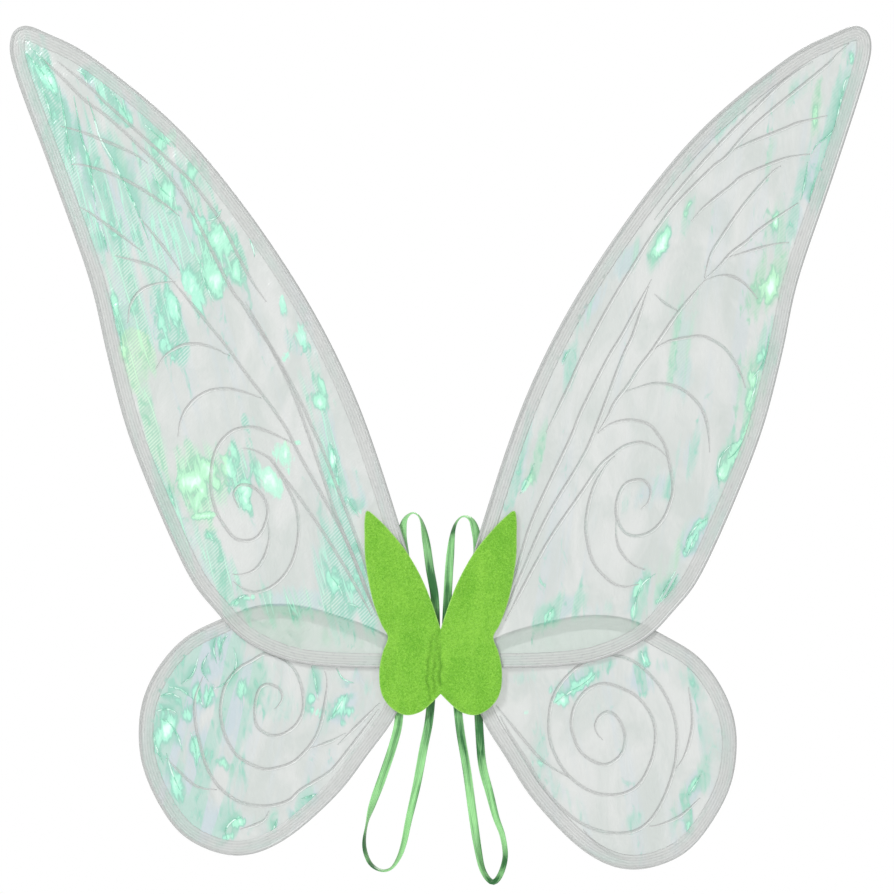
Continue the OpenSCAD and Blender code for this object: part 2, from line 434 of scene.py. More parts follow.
def thread_material():
    """Dark green sewing thread with a twist."""
    n = Nodes("thread")
    place = n.place()
    twist = n.lines(place, (0.6, 0.5, 0.6), 0.35 * MM)
    shade = n.noise(place, 800, 2, 0.5)
    tone = n.times_plus(twist, 0.5, n.times(shade, 0.5))
    return n.finish(
        Base_Color=n.mix(tone, (0.03, 0.17, 0.02), (0.13, 0.42, 0.06)),
        Roughness=n.vary(shade, 0.5, 0.7),
        Normal=n.bump(twist, 0.5, 0.08 * MM), Sheen_Weight=0.3,
    )


def tape_material():
    """Woven cotton tape in olive green."""
    n = Nodes("tape")
    place = n.place()
    warp = n.lines(place, (0.7, 0.7, 0), 0.7 * MM)
    weft = n.lines(place, (0, 0, 1), 0.7 * MM)
    cloth = n.times(warp, weft)
    shade = n.noise(place, 260, 3, 0.6)
    tone = n.times_plus(cloth, 0.6, n.times(shade, 0.4))
    return n.finish(
        Base_Color=n.mix(tone, (0.07, 0.20, 0.02), (0.22, 0.46, 0.09)),
        Roughness=n.vary(shade, 0.75, 0.95),
        Normal=n.bump(cloth, 0.6, 0.15 * MM), Sheen_Weight=0.25,
    )


def felt_material(name, deep, mid, pale):
    """Pressed felt: mottled, with matted fibres, a paler cut edge and painted shade in its pinched
    creases.
    """
    n = Nodes(name)
    place = n.attribute("place", "Vector")
    cloud = n.noise(place, (60, 60, 28), 3, 0.55, 0.3)
    fleck = n.noise(place, 950, 3, 0.75, 1.0)
    hair = n.noise(place, (1500, 1500, 420), 3, 0.6, 1.4)
    tone = n.times_plus(cloud, 0.25, n.times(fleck, 0.85))
    colour = n.mix(n.step(tone, 0.40, 0.68), deep, mid)
    cut = n.times(n.attribute("edge"), n.step(fleck, 0.3, 0.6, 0.5, 1.0))
    colour = n.mix(cut, colour, pale)
    # Painted shade in the pinched creases.
    dark = tuple(0.55 * part for part in deep)
    colour = n.mix(n.times(n.attribute("pinch"), 0.65), colour, dark)
    height = n.times_plus(hair, 0.7, n.times_plus(fleck, 0.9, cloud))
    return n.finish(
        Base_Color=colour, Roughness=n.vary(fleck, 0.82, 0.98),
        Normal=n.bump(height, 0.8, 0.5 * MM), Sheen_Weight=0.2, Sheen_Roughness=0.5,
        Sheen_Tint=(0.8, 1.0, 0.5, 1), Specular_IOR_Level=0.2,
    )


def wire_material():
    """Spring wire with a white coating, slightly uneven."""
    n = Nodes("wire")
    dull = n.noise(n.place(), 400, 3, 0.6)
    return n.finish(
        Base_Color=n.mix(dull, (0.56, 0.58, 0.57), (0.76, 0.78, 0.77)),
        Roughness=n.vary(dull, 0.25, 0.45), Normal=n.bump(dull, 0.2, 0.05 * MM),
    )


# The film's colours: clear, with painted iridescent reflection in mint, teal, violet or
# yellow-green, and painted highlights and glints.
CLEAR_DARK = (0.385, 0.445, 0.41)
CLEAR_PALE = (0.545, 0.57, 0.55)
CLEAR_LAP = (0.56, 0.64, 0.59)
MINT_LAP = (0.40, 0.64, 0.51)
MINT = (0.28, 0.52, 0.435)
PALE_MINT = (0.40, 0.64, 0.555)
TEAL = (0.12, 0.48, 0.345)
BRIGHT = (0.35, 0.79, 0.60)
GLINT = (0.74, 0.96, 0.87)
WARM = (0.34, 0.56, 0.34)
WARM_BRIGHT = (0.50, 0.82, 0.44)
WARM_DEEP = (0.20, 0.52, 0.25)
VIOLET = (0.40, 0.49, 0.56)


def film_marks(n, streak, crinkle):
    """Where the film has painted iridescent reflection, painted dark teal rims and fold shade,
    painted highlights and painted glints, each from 0 to 1.
    """
    iris, spot, fold, weave = [n.attribute(k) for k in ("iris", "spot", "fold", "weave")]
    off_streak = n.minus(streak, 0.5)
    off_crinkle = n.minus(crinkle, 0.5)
    swing = n.times(off_streak, n.times_plus(weave, 1.3, 1.1))
    glow = n.times_plus(off_crinkle, 0.5, n.plus(swing, iris))
    glow = n.times_plus(fold, 0.55, glow)
    # Where the painted iridescent reflection lies.
    reflection_wash = n.times(n.step(glow, 0.12, 0.56), n.step(iris, 0.02, 0.22))
    # Painted teal shade along crinkles and folds.
    shade = n.step(n.times_plus(off_crinkle, 0.7, fold), 0.08, 0.75)
    shade = n.times(shade, n.step(iris, 0.1, 0.4, 0.3, 1.0))
    spark = n.times_plus(off_crinkle, 1.6, n.times(spot, 0.95))
    spark = n.times_plus(off_streak, 1.1, n.times_plus(iris, 0.30, spark))
    rim = n.times(n.step(spark, 0.24, 0.60), n.step(glow, 0.1, 0.4))
    # A painted highlight line where the streaks cross their middle.
    seam = n.step(n.math("ABSOLUTE", n.minus(streak, 0.51)), 0.022, 0.004)
    seam = n.times(n.times(seam, weave), n.step(iris, 0.35, 0.7, 0.0, 0.85))
    lit = n.larger(n.step(spark, 0.50, 0.86), seam)
    return reflection_wash, n.larger(rim, shade), lit, n.step(spark, 0.90, 1.50)


def film_material():
    """Clear crinkled film, with painted iridescent reflection in patches and streaks, painted
    highlights and glints, and fine slanting lines.
    """
    n = Nodes("film")
    place = n.place()
    streak = n.noise(n.attribute("roll", "Vector"), (85, 5.5, 1), 2.5, 0.55, 0.35)
    crinkle = n.noise(place, (150, 40, 62), 2.5, 0.5, 1.2)
    cloud = n.noise(place, (34, 20, 17), 3, 0.5, 0.8)
    grain = n.noise(place, 520, 2, 0.6)
    warm, weave, lap = [n.attribute(k) for k in ("warm", "weave", "lap")]
    reflection_wash, dark, lit, glint = film_marks(n, streak, crinkle)
    hatch = n.lines(place, (0.7071, 0, -0.7071), 2.1 * MM, n.times(cloud, 2.0))
    lined = n.times(hatch, n.times(weave, n.step(cloud, 0.40, 0.56, 0.2, 1.0)))
    clear = n.mix(n.vary(cloud, 0, 1), CLEAR_DARK, CLEAR_PALE)
    # Painted violet reflection along the streaks.
    clear = n.mix(n.step(streak, 0.5, 0.72, 0.0, 0.4), clear, VIOLET)
    clear = n.mix(lap, clear, CLEAR_LAP)
    cool = n.mix(n.step(streak, 0.49, 0.43, 0.0, 0.85), MINT, VIOLET)
    cool = n.mix(n.times(weave, n.step(streak, 0.52, 0.60, 0.0, 0.8)), cool, TEAL)
    cool = n.mix(lined, n.mix(lap, cool, MINT_LAP), PALE_MINT)
    # Painted iridescent reflection, painted teal shade, painted highlights and painted glints over
    # the clear film.
    colour = n.mix(reflection_wash, clear, n.mix(warm, cool, n.mix(lined, WARM, WARM_BRIGHT)))
    colour = n.mix(n.times(dark, 0.8), colour, n.mix(warm, TEAL, WARM_DEEP))
    colour = n.mix(lit, colour, n.mix(warm, BRIGHT, WARM_BRIGHT))
    colour = n.mix(glint, colour, GLINT)
    alpha = n.times_plus(reflection_wash, 0.06, n.vary(cloud, 0.62, 0.66))
    alpha = n.times_plus(dark, 0.08, alpha)
    alpha = n.times_plus(lit, 0.12, alpha, clamp=True)
    alpha = n.times_plus(lap, -0.08, alpha)
    height = n.times_plus(lined, 0.15, n.times_plus(crinkle, 0.8, streak))
    return n.finish(
        Base_Color=colour, Alpha=alpha, Roughness=n.vary(grain, 0.14, 0.24),
        Normal=n.bump(height, 0.5, 1.4 * MM), IOR=1.5, Coat_Weight=0.3, Coat_Roughness=0.1,
    )


def fold_glint_material():
    """Painted glints of sharp folds in the film: a painted highlight along one side and painted
    deep green shade along the other.
    """
    n = Nodes("fold_glint")
    glint = n.noise(n.place(), (160, 160, 90), 3, 0.6, 0.6)
    tone = n.times_plus(n.minus(glint, 0.5), 1.6, n.attribute("wall"))
    bright = n.mix(n.step(glint, 0.46, 0.62), BRIGHT, GLINT)
    return n.finish(
        Base_Color=n.mix(n.step(tone, -1.1, -0.2), TEAL, bright),
        Alpha=n.step(glint, 0.36, 0.58, 0.35, 0.9),
        Roughness=n.vary(glint, 0.12, 0.25), Normal=n.bump(glint, 0.4, 0.3 * MM),
    )


def hem_material():
    """Doubled film round the wire, with fine sewn lines along it, small puckers and painted mint
    reflection in slow patches.
    """
    n = Nodes("hem")
    band = n.attribute("band", "Vector")
    groove = n.lines(band, (0, 1, 0), 0.2)
    pucker = n.noise(band, (260, 3, 1), 2, 0.5, 0.4)
    slow = n.noise(band, (20, 1, 1), 2, 0.5)
    tone = n.times_plus(groove, 0.6, n.times(pucker, 0.35))
    colour = n.mix(tone, (0.54, 0.55, 0.54), (0.86, 0.86, 0.85))
    # Painted mint iridescent reflection in slow patches.
    colour = n.mix(n.step(slow, 0.48, 0.75, 0.0, 0.5), colour, (0.58, 0.76, 0.69))
    colour = n.mix(n.step(n.part(band, "Y"), 0.07, 0.0), colour, (0.50, 0.51, 0.50))
    return n.finish(
        Base_Color=colour, Alpha=n.step(tone, 0.2, 0.9, 0.50, 0.44),
        Roughness=n.vary(pucker, 0.25, 0.45),
        Normal=n.bump(n.times_plus(pucker, 0.8, groove), 0.5, 0.3 * MM),
        Coat_Weight=0.2, Coat_Roughness=0.2,
    )


def vein_material():
    """Pressed seam lines: a channel with painted shade on one wall and a painted highlight on the
    other, and painted mint reflection in slow patches.
    """
    n = Nodes("vein")
    place = n.place()
    wall = n.attribute("wall")
    grain = n.noise(place, 500, 3, 0.6)
    slow = n.noise(place, 40, 2, 0.5)
    # Painted shade on the upper left wall, painted highlight on the lower right.
    colour = n.mix(n.step(wall, -0.95, -0.1), (0.36, 0.365, 0.36), (0.58, 0.59, 0.58))
    colour = n.mix(n.step(wall, 0.25, 0.7), colour, (0.96, 0.98, 0.96))
    colour = n.mix(n.step(grain, 0.35, 0.7, 0.0, 0.2), colour, (0.7, 0.72, 0.71))
    # Painted mint iridescent reflection in slow patches.
    colour = n.mix(n.step(slow, 0.5, 0.7, 0.0, 0.25), colour, (0.52, 0.72, 0.64))
    return n.finish(
        Base_Color=colour, Alpha=n.vary(grain, 0.44, 0.56),
        Roughness=n.vary(grain, 0.3, 0.5), Normal=n.bump(grain, 0.3, 0.2 * MM),
    )


ELASTIC = elastic_material()
THREAD = thread_material()
TAPE = tape_material()
FELT_FRONT = felt_material("felt", (0.115, 0.38, 0.022), (0.27, 0.60, 0.065), (0.42, 0.74, 0.2))
FELT_BACK = felt_material("felt_back", (0.09, 0.33, 0.02), (0.27, 0.60, 0.07), (0.42, 0.74, 0.2))
FELT_CORE = felt_material("felt_core", (0.08, 0.28, 0.02), (0.22, 0.5, 0.06), (0.36, 0.66, 0.17))
WIRE = wire_material()
FILM = film_material()
FOLD_GLINT = fold_glint_material()
HEM = hem_material()
VEIN = vein_material()


# ---------------------------------------------------------------- straps

# Routes as x and z in mm, y from the sewn plane, and turn in degrees; at turn 0 the band
# lies flat.
STRAPS = {
    "arch_left": [
        (-20, 14, 0, 0), (-21, 30, 0, 0), (-24, 50, 0, 0), (-27, 72, 0, 0), (-29, 88, 0, 10),
        (-27, 99, 0, 60), (-21, 104, 0, 90), (-15, 99, 0, 80), (-11, 82, 0, 30), (-8, 61, 0, 10),
        (-4.5, 40, 0, 0), (-3.5, 14, 0, 0),
    ],
    "arch_right": [
        (4, 14, 0, 0), (5, 35, 0, 0), (7, 68, 0, 20), (10, 92, 0, 70), (16, 101, 0, 90),
        (23, 99, 0, 60), (27, 88, 0, 10), (28, 72, 0, 0), (26, 45, 0, 0), (25, 14, 0, 0),
    ],
    "loop_left": [
        (-31, -35, 0, 0), (-32, -55, 0, 0), (-36, -72, 0, 0), (-44, -96, -1, 0),
        (-52, -118, -1, 40), (-56, -132, -2, 80), (-58, -148, -2, 68), (-54, -161, -2, 70),
        (-46, -167, -2, 82), (-38, -166, -2, 82), (-32, -158, -2, 66), (-28, -147, -2, 52),
        (-24, -128, -1, 40), (-18, -102, -1, 20), (-13, -75, 0, 0), (-9, -55, 0, 0),
        (-7, -35, 0, 0),
    ],
    "loop_right": [
        (12, -35, 0, 0), (15, -62, 0, 0), (20, -92, -1, 0), (24, -122, -1, 0), (28, -149, -2, 30),
        (32, -167, -2, 50), (39, -176, -2, 58), (45, -171, -2, 54), (49, -157, -2, 56),
        (47, -141, -2, 52), (42, -127, -1, 40), (37, -108, -1, 20), (32, -89, 0, 0),
        (30, -70, 0, 0), (28, -35, 0, 0),
    ],
}
# Where a strap has painted shade, as x, z and reach in mm.
STRAP_SHADE = {
    "arch_left": [(-7, 48, 26), (-5, 20, 20)], "arch_right": [(5, 24, 22), (9, 92, 7)],
    "loop_left": [(-58, -146, 13), (-51, -163, 8), (-7, -36, 18), (-31, -36, 10)],
    "loop_right": [(40, -177, 9), (29, -62, 20), (12, -36, 14), (48, -160, 9)],
}


def band_rings(path, turn, shade):
    """Rings of a flat elastic band with rounded edges, and each point's place on the band.

    shade is the painted shade along the band's length, from 0 to 1, kept as each point's third
    value."""
    sides = 20
    angle = 2 * math.pi * (np.arange(sides) + 0.5) / sides
    c, s = np.cos(angle), np.sin(angle)
    wide = np.sign(c) * np.abs(c) ** 0.45 * STRAP_WIDTH / 2
    thick = np.sign(s) * np.abs(s) ** 0.6 * STRAP_THICK / 2
    rings, band = [], []
    for p, d, a, far, dark in zip(path, directions(path), turn, lengths(path), shade):
        flat = np.array([d[0], 0, d[2]])
        flat = flat / np.linalg.norm(flat)
        across = np.array([-flat[2] * math.cos(a), math.sin(a), flat[0] * math.cos(a)])
        out = np.cross(flat, across)
        rings.append(p + wide[:, None] * across + thick[:, None] * out)
        band.append(np.stack([np.full(sides, far), wide, np.full(sides, dark)], axis=1))
    return rings, np.concatenate(band)


def strap_path(name):
    """A free strap's points in space, with the band's turn at each one."""
    x, z, y, turn = smooth(STRAPS[name], 8).T
    route = np.stack([x * MM, Y_STRAP + y * MM, z * MM, np.radians(turn)], axis=1)
    far = lengths(route[:, :3])
    at = np.linspace(0, far[-1], int(far[-1] / (2.2 * MM)))
    return np.stack([np.interp(at, far, column) for column in route.T], axis=1)


def make_strap(name):
    """One free strap, from its hinge line back into the hub."""
    path = strap_path(name)
    x, z = path[:, 0] / MM, path[:, 2] / MM
    # Painted shade round each listed place.
    shade = [np.exp(-((x - at_x) ** 2 + (z - at_z) ** 2) / reach**2)
             for at_x, at_z, reach in STRAP_SHADE[name]]
    rings, band = band_rings(path[:, :3], path[:, 3], np.max(shade, axis=0))
    shape = Shape()
    shape.rings(rings, band=band)
    piece = shape.piece("elastic_" + name, ELASTIC)
    belongs(piece, name, "elastic", "strap_" + name)


for strap in STRAPS:
    make_strap(strap)


def sewn_lines(side):
    """The two sewn stretches of a side's strap ring: each one's X at its top and its bottom."""
    arch, loop = STRAPS["arch_" + side], STRAPS["loop_" + side]
    return [(arch[end][0] * MM, loop[end][0] * MM) for end in (0, -1)]


def make_sewn_straps(side):
    """The stretches of a strap ring that are sewn down behind the felt."""
    shape = Shape()
    for top, low in sewn_lines(side):
        ends = [(top, Y_STRAP, ARCH_HINGE_Z), (low, Y_STRAP, LOOP_HINGE_Z)]
        path = resample(ends, 2.2 * MM)
        # An even painted shade on the stretches behind the felt.
        rings, band = band_rings(path, np.zeros(len(path)), np.full(len(path), 0.3))
        shape.rings(rings, band=band)
    belongs(shape.piece("elastic_sewn_" + side, ELASTIC), "hub", "elastic", "strap_sewn_" + side)


def make_tacks():
    """Zigzag bar tacks that hold the straps to the patch."""
    strokes, wide, tall = 16, 5 * MM, 1.5 * MM
    face = Y_STRAP - STRAP_THICK / 2 + 0.05 * MM
    shape = Shape()
    for top, low in sewn_lines("left") + sewn_lines("right"):
        for z in (10 * MM, -29 * MM):
            share = (ARCH_HINGE_Z - z) / (ARCH_HINGE_Z - LOOP_HINGE_Z)
            x = top + (low - top) * share
            zigzag = [(x + (k / strokes - 0.5) * wide, face, z + (k % 2 - 0.5) * tall)
                      for k in range(strokes + 1)]
            shape.rings(round_rings(resample(zigzag, 0.5 * MM), 0.16 * MM, 6))
    belongs(shape.piece("bar_tacks", THREAD), "hub", "thread", "strap_tacks")


for side in SIDES:
    make_sewn_straps(side)
make_tacks()


# ---------------------------------------------------------------- wing outlines

# Where each wing's wrinkles begin in the noise.
WING_SEEDS = {"upper_left": 3.1, "upper_right": 11.7, "lower_left": 23.3, "lower_right": 37.9}
# The two ends of each wing's outline and the middle of its root, in mm, out and up.
WING_ROOTS = {
    "upper": [(12, 22), (12, -12), (12, 5)],
    "lower": [(19, -9.6), (19, -14.4), (12, -12)],
}


def wire_path(node, radius, y):
    """The centre line of a CAD wire in X and Z, read from the points just behind it."""
    face = y + 0.97 * radius
    found = {
        (round(v.co.x, 6), round(v.co.z, 6))
        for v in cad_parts[node].data.vertices
        if abs(v.co.y - face) < 0.004 * MM
    }
    return [np.array(p) for p in sorted(found)]


def in_order(points, start):
    """The points as a path: each next one is the nearest that is left."""
    left = list(points)
    at = np.asarray(start, float)
    path = []
    while left:
        gaps = [np.linalg.norm(p - at) for p in left]
        k = int(np.argmin(gaps))
        at = left.pop(k)
        path.append(at)
    return np.array(path)


def evened(path, times=6):
    """The path with its small kinks rounded off, but for its ends and its far tip."""
    reach = np.linalg.norm(path - path[0], axis=1)
    tip_gap = np.linalg.norm(path - path[reach.argmax()], axis=1)
    keep = np.exp(-((tip_gap / (35 * MM)) ** 2))[:, None]
    for _ in range(times):
        even = path.copy()
        even[1:-1] = (path[:-2] + 2 * path[1:-1] + path[2:]) / 4
        path = keep * path + (1 - keep) * even
    return path


class Wing:
    """One wing's outline and the way its film is wrinkled."""

    def __init__(self, kind, side):
        self.kind, self.side, self.sign = kind, side, SIDES[side]
        self.name = kind + "_" + side
        self.seed = WING_SEEDS[self.name]
        self.wire_r = WIRE_R[kind]
        self.y = Y_UPPER if kind == "upper" else Y_LOWER
        self.body = ("wing_" if kind == "upper" else "lower_") + side
        first, last, self.root = np.array(WING_ROOTS[kind]) * MM * np.array([self.sign, 1])
        points = wire_path(kind + "_frame_" + side, self.wire_r, self.y)
        points = [p for p in points if abs(p[0]) > abs(first[0]) + 0.4 * MM]
        path = evened(resample(in_order(points, first), 4 * MM))
        self.edge = np.vstack([[first], path, [last]])
        self.fine = resample(self.edge, 1 * MM)
        self.arc = lengths(self.fine)
        self.tree = tree_of(self.fine)
        tip = int(np.argmax(np.linalg.norm(self.fine - first, axis=1)))
        self.lead, self.trail = tree_of(self.fine[: tip + 1]), tree_of(self.fine[tip:])

    def beyond(self, start):
        """The part of the outline that is at least start out from the middle."""
        return self.fine[np.abs(self.fine[:, 0]) >= start]

    def flow(self, x, z):
        """How far out along the wing a place is, and its share of the way across."""
        lead, _ = gap_to(self.lead, x, z)
        trail, _ = gap_to(self.trail, x, z)
        out = math.hypot(x - self.root[0], z - self.root[1])
        return out, lead / max(lead + trail, 1e-6)

    def rise(self, x, z):
        """The film's height above its plane at a place, towards the front."""
        gap, index = gap_to(self.tree, x, z)
        out, share = self.flow(x, z)
        long = noise.noise(Vector((out * 11, share * 7, self.seed)))
        short = noise.noise(Vector((x * 62, z * 62, self.seed + 4)))
        fade = min(1.0, gap / (16 * MM)) ** 1.3
        pull = math.sin(self.arc[index] / (12 * MM) * 2 * math.pi + 5 * long)
        near = math.exp(-(((gap - 13 * MM) / (7 * MM)) ** 2))
        return fade * (1.3 * long + 0.45 * short) * MM + 0.22 * MM * pull * near


# ---------------------------------------------------------------- iridescence

# Painted iridescent reflection on each wing as soft washes, in mm: out, up, half length, half
# width, lean in degrees from upright towards the outside, strength, and share of yellow. A
# strength below zero is a clear window.
REFLECTION_WASHES = {
    "upper_left": [
        (300, 430, 34, 12, 24, 0.8, 0), (284, 388, 60, 12, 10, 0.8, 0),
        (266, 350, 70, 18, 14, 0.8, 0), (246, 330, 60, 24, 22, 0.8, 0),
        (248, 418, 36, 12, 48, 0.8, 0), (210, 356, 40, 28, 46, 0.85, 0.1),
        (204, 310, 44, 34, 40, 0.8, 0), (172, 296, 34, 22, 36, 0.95, 0.1),
        (236, 270, 60, 20, 6, 0.85, 0.1), (206, 246, 36, 24, 30, 0.8, 0),
        (230, 226, 34, 14, 14, 0.95, 0.6), (218, 180, 50, 9, 14, 0.75, 0.4),
        (122, 262, 20, 7, 10, 0.62, 0), (112, 232, 20, 8, 46, 0.6, 0),
        (94, 192, 30, 12, 22, 0.66, 0.1), (82, 146, 60, 9, 10, 0.8, 0),
        (64, 120, 40, 8, 26, 0.7, 0), (180, 128, 26, 30, 60, 1.0, 0.45),
        (152, 130, 26, 17, 10, 0.9, 0.1), (146, 174, 12, 8, 45, 0.6, 0),
        (198, 96, 50, 13, 26, 0.7, 0.1), (108, 36, 14, 50, 4, 0.85, 0.1),
        (76, 56, 40, 28, 18, 0.75, 0), (168, 62, 30, 16, 40, 0.75, 0.1),
        (152, 250, 44, 16, -41, -1.3, 0), (168, 196, 24, 34, 20, -0.9, 0),
        (128, 110, 34, 14, 0, -0.5, 0), (208, 188, 22, 10, 12, -0.6, 0),
    ],
    "upper_right": [
        (168, 308, 26, 9, 26, 0.85, 0.2), (187, 330, 22, 6, 16, 0.65, 0.3),
        (172, 270, 26, 6, 2, 0.6, 0.4), (182, 232, 40, 8, 8, 0.85, 0.3),
        (187, 148, 22, 10, 12, 0.5, 0), (270, 425, 24, 8, 30, 0.5, 0.1),
        (285, 410, 20, 4, 6, 0.7, 0.5), (253, 380, 22, 4, 14, 0.55, 0.3),
        (254, 316, 24, 6, 2, 0.8, 0.3), (249, 278, 24, 10, 18, 0.85, 0.5),
        (302, 408, 44, 9, 14, 0.85, 0), (286, 362, 34, 11, 18, 0.85, 0),
        (270, 326, 20, 8, 10, 0.6, 0), (246, 228, 26, 7, 10, 0.85, 0.1),
        (236, 196, 30, 8, 8, 0.95, 0.35), (218, 146, 24, 8, 30, 0.85, 0.2),
        (204, 112, 24, 8, 14, 0.8, 0.2), (192, 86, 26, 10, 30, 0.85, 0),
        (176, 68, 26, 8, 22, 0.65, 0.5), (170, 44, 22, 8, 36, 0.7, 0.2),
        (150, 40, 24, 8, 18, 0.8, 0.1), (92, 31, 20, 9, 56, 0.95, 0.1),
        (120, 30, 18, 10, 70, 0.4, 0), (140, 294, 24, 9, 36, 0.75, 0.1),
        (118, 264, 30, 7, 32, 0.6, 0), (98, 216, 20, 6, 10, 0.7, 0), (62, 150, 44, 5, 14, 0.65, 0),
        (75, 150, 22, 4, 12, 0.6, 0.4), (212, 396, 60, 6, 42, 0.55, 0),
        (312, 452, 14, 8, 0, 0.65, 0.1), (162, 122, 28, 13, 50, 0.55, 0),
        (184, 208, 22, 9, 4, 0.75, 0.2),
    ],
    "lower_left": [
        (172, -6, 30, 20, -30, 0.85, 0), (190, -34, 34, 22, -30, 0.85, 0),
        (206, -62, 40, 16, -10, 0.85, 0), (182, -80, 34, 15, -4, 0.75, 0),
        (200, -106, 30, 18, 16, 0.85, 0), (182, -130, 20, 26, 30, 0.75, 0),
        (158, -52, 44, 15, 4, 0.75, 0), (148, -26, 22, 16, -30, 0.75, 0.1),
        (164, -84, 16, 8, 30, 0.6, 0.1), (98, -34, 26, 7, -10, 0.55, 0),
        (74, -44, 24, 12, -34, 0.62, 0), (62, -22, 16, 8, 30, 0.5, 0),
        (84, -84, 22, 7, -20, 0.5, 0), (154, -132, 10, 16, 20, 0.6, 0.1),
        (126, -130, 12, 6, 0, 0.5, 0.1), (100, -112, 10, 22, 34, 0.5, 0),
        (118, 14, 16, 44, 8, 0.5, 0.3), (122, -44, 20, 18, 0, 0.34, 0),
        (130, -74, 14, 24, 0, -0.5, 0),
    ],
    "lower_right": [
        (102, -26, 9, 24, -34, 0.8, 0), (83, -30, 10, 5, 0, 0.45, 0),
        (150, -24, 14, 14, -20, 0.7, 0), (155, -6, 14, 5, -10, 0.5, 0),
        (170, -12, 8, 12, -20, 0.4, 0), (190, -26, 26, 8, -50, 0.36, 0),
        (74, -78, 28, 7, 0, 0.36, 0), (116, -48, 16, 8, 20, 0.34, 0),
        (190, -108, 26, 8, 24, 0.85, 0.1), (187, -130, 14, 7, 4, 0.75, 0.1),
        (213, -70, 22, 5, 0, 0.4, 0), (205, -60, 40, 12, 0, 0.26, 0),
        (142, -132, 8, 16, -30, 0.34, 0), (128, -10, 6, 16, -10, 0.4, 0),
        (60, -22, 6, 20, -6, 0.36, 0), (95, -110, 30, 8, -34, 0.34, 0),
        (80, 6, 8, 24, 20, 0.3, 0.2),
    ],
}

# Small painted highlights, in the same terms as the washes but without the yellow.
SPOTS = {
    "upper_left": [
        (297, 432, 14, 5, 36, 1.0), (236, 404, 9, 6, 20, 0.75), (208, 386, 7, 14, 44, 0.8),
        (208, 346, 8, 12, 40, 0.75), (190, 362, 5, 12, 44, 0.7), (182, 322, 14, 6, 38, 0.8),
        (168, 312, 14, 12, 36, 1.0), (188, 272, 18, 7, 26, 1.15), (170, 280, 16, 9, 26, 1.0),
        (156, 286, 12, 7, 20, 0.8), (203, 262, 12, 6, 20, 0.9), (208, 230, 9, 5, 20, 0.9),
        (212, 248, 10, 5, 30, 0.7), (246, 256, 20, 3, 10, 0.8), (242, 228, 10, 3, 6, 0.8),
        (120, 264, 10, 4, 10, 0.8), (106, 238, 9, 5, 16, 1.1), (118, 222, 7, 5, 30, 1.1),
        (90, 200, 9, 3, 20, 0.9), (92, 188, 8, 6, 50, 1.05), (81, 190, 8, 3, 6, 0.8),
        (108, 157, 3, 6, 0, 0.9), (119, 148, 13, 9, 30, 1.3), (116, 136, 7, 3, 0, 0.9),
        (128, 128, 17, 10, 34, 1.35), (82, 146, 10, 3, 12, 1.1), (80, 128, 5, 5, 0, 0.9),
        (162, 138, 12, 6, 10, 1.1), (158, 152, 8, 3, 20, 0.9), (191, 128, 9, 9, 0, 1.1),
        (176, 137, 9, 7, 40, 1.0), (150, 122, 8, 9, 0, 0.9), (184, 114, 5, 10, 60, 0.9),
        (178, 102, 2.6, 16, 8, 1.1), (172, 128, 8, 5, 30, 0.9), (148, 112, 9, 4, 36, 1.0),
        (176, 86, 5, 2.5, 30, 0.8), (62, 106, 7, 2.5, 30, 0.8), (80, 50, 9, 3, 36, 0.8),
        (66, 49, 5, 4, 0, 0.7), (155, 36, 2.5, 5, 30, 0.9), (144, 40, 2, 7, 10, 0.9),
    ],
    "upper_right": [
        (168, 308, 15, 4, 26, 1.25), (188, 338, 9, 2.4, 20, 0.6), (254, 324, 7, 2.6, 2, 1.1),
        (250, 276, 12, 5, 20, 1.3), (285, 405, 8, 1.8, 6, 0.7), (311, 448, 6, 2.5, 0, 0.9),
        (236, 206, 8, 3, 10, 0.9), (234, 190, 8, 3, 4, 0.8), (213, 134, 8, 4, 10, 1.1),
        (226, 154, 24, 4, 24, 0.85), (198, 96, 8, 4, 34, 1.0), (190, 82, 11, 3.4, 30, 0.95),
        (150, 48, 9, 3, 28, 1.0), (146, 30, 7, 2.6, 6, 1.0), (166, 38, 5, 2.4, 40, 0.8),
        (82, 26, 5, 2.4, 30, 0.9), (65, 126, 9, 3, 28, 1.1), (244, 222, 6, 3, 10, 0.8),
    ],
    "lower_left": [
        (207, -60, 12, 5, -34, 1.2), (186, -75, 13, 3.6, 4, 1.2), (176, -36, 10, 5, 0, 1.15),
        (185, -34, 9, 3.6, 0, 1.0), (176, -16, 5, 3, 0, 0.8), (150, -30, 9, 5, 10, 0.9),
        (200, -102, 11, 5, 14, 0.9), (165, -86, 8, 5, 30, 0.7), (95, -48, 5, 5, 0, 0.9),
        (97, -37, 4, 3, 0, 0.8), (77, -43, 12, 4, -36, 1.15), (69, -47, 5, 5, 0, 1.1),
        (72, -56, 4, 4, 0, 0.8), (153, -131, 4, 6, 20, 1.0), (162, -142, 3, 4, 20, 0.9),
        (84, -80, 8, 3, 0, 0.6), (193, -50, 6, 4, 0, 0.8), (168, 4, 8, 3, 10, 0.8),
        (86, 8, 8, 4, 10, 0.8), (60, 6, 6, 4, 20, 0.7), (130, 22, 3, 8, 20, 0.8),
    ],
    "lower_right": [
        (108, -25, 3.4, 13, -36, 1.2), (90, -38, 5, 7, -20, 1.2), (83, -31, 5, 3, 0, 0.8),
        (64, -47, 3.4, 3, 0, 0.9), (155, -8, 6, 3, -20, 0.9), (154, -35, 4, 4, 0, 0.7),
        (192, -102, 8, 3, 26, 0.95), (214, -63, 4, 2.4, 0, 0.8), (74, -86, 3, 5, 0, 0.6),
        (188, -132, 9, 3.4, 4, 0.5),
    ],
}

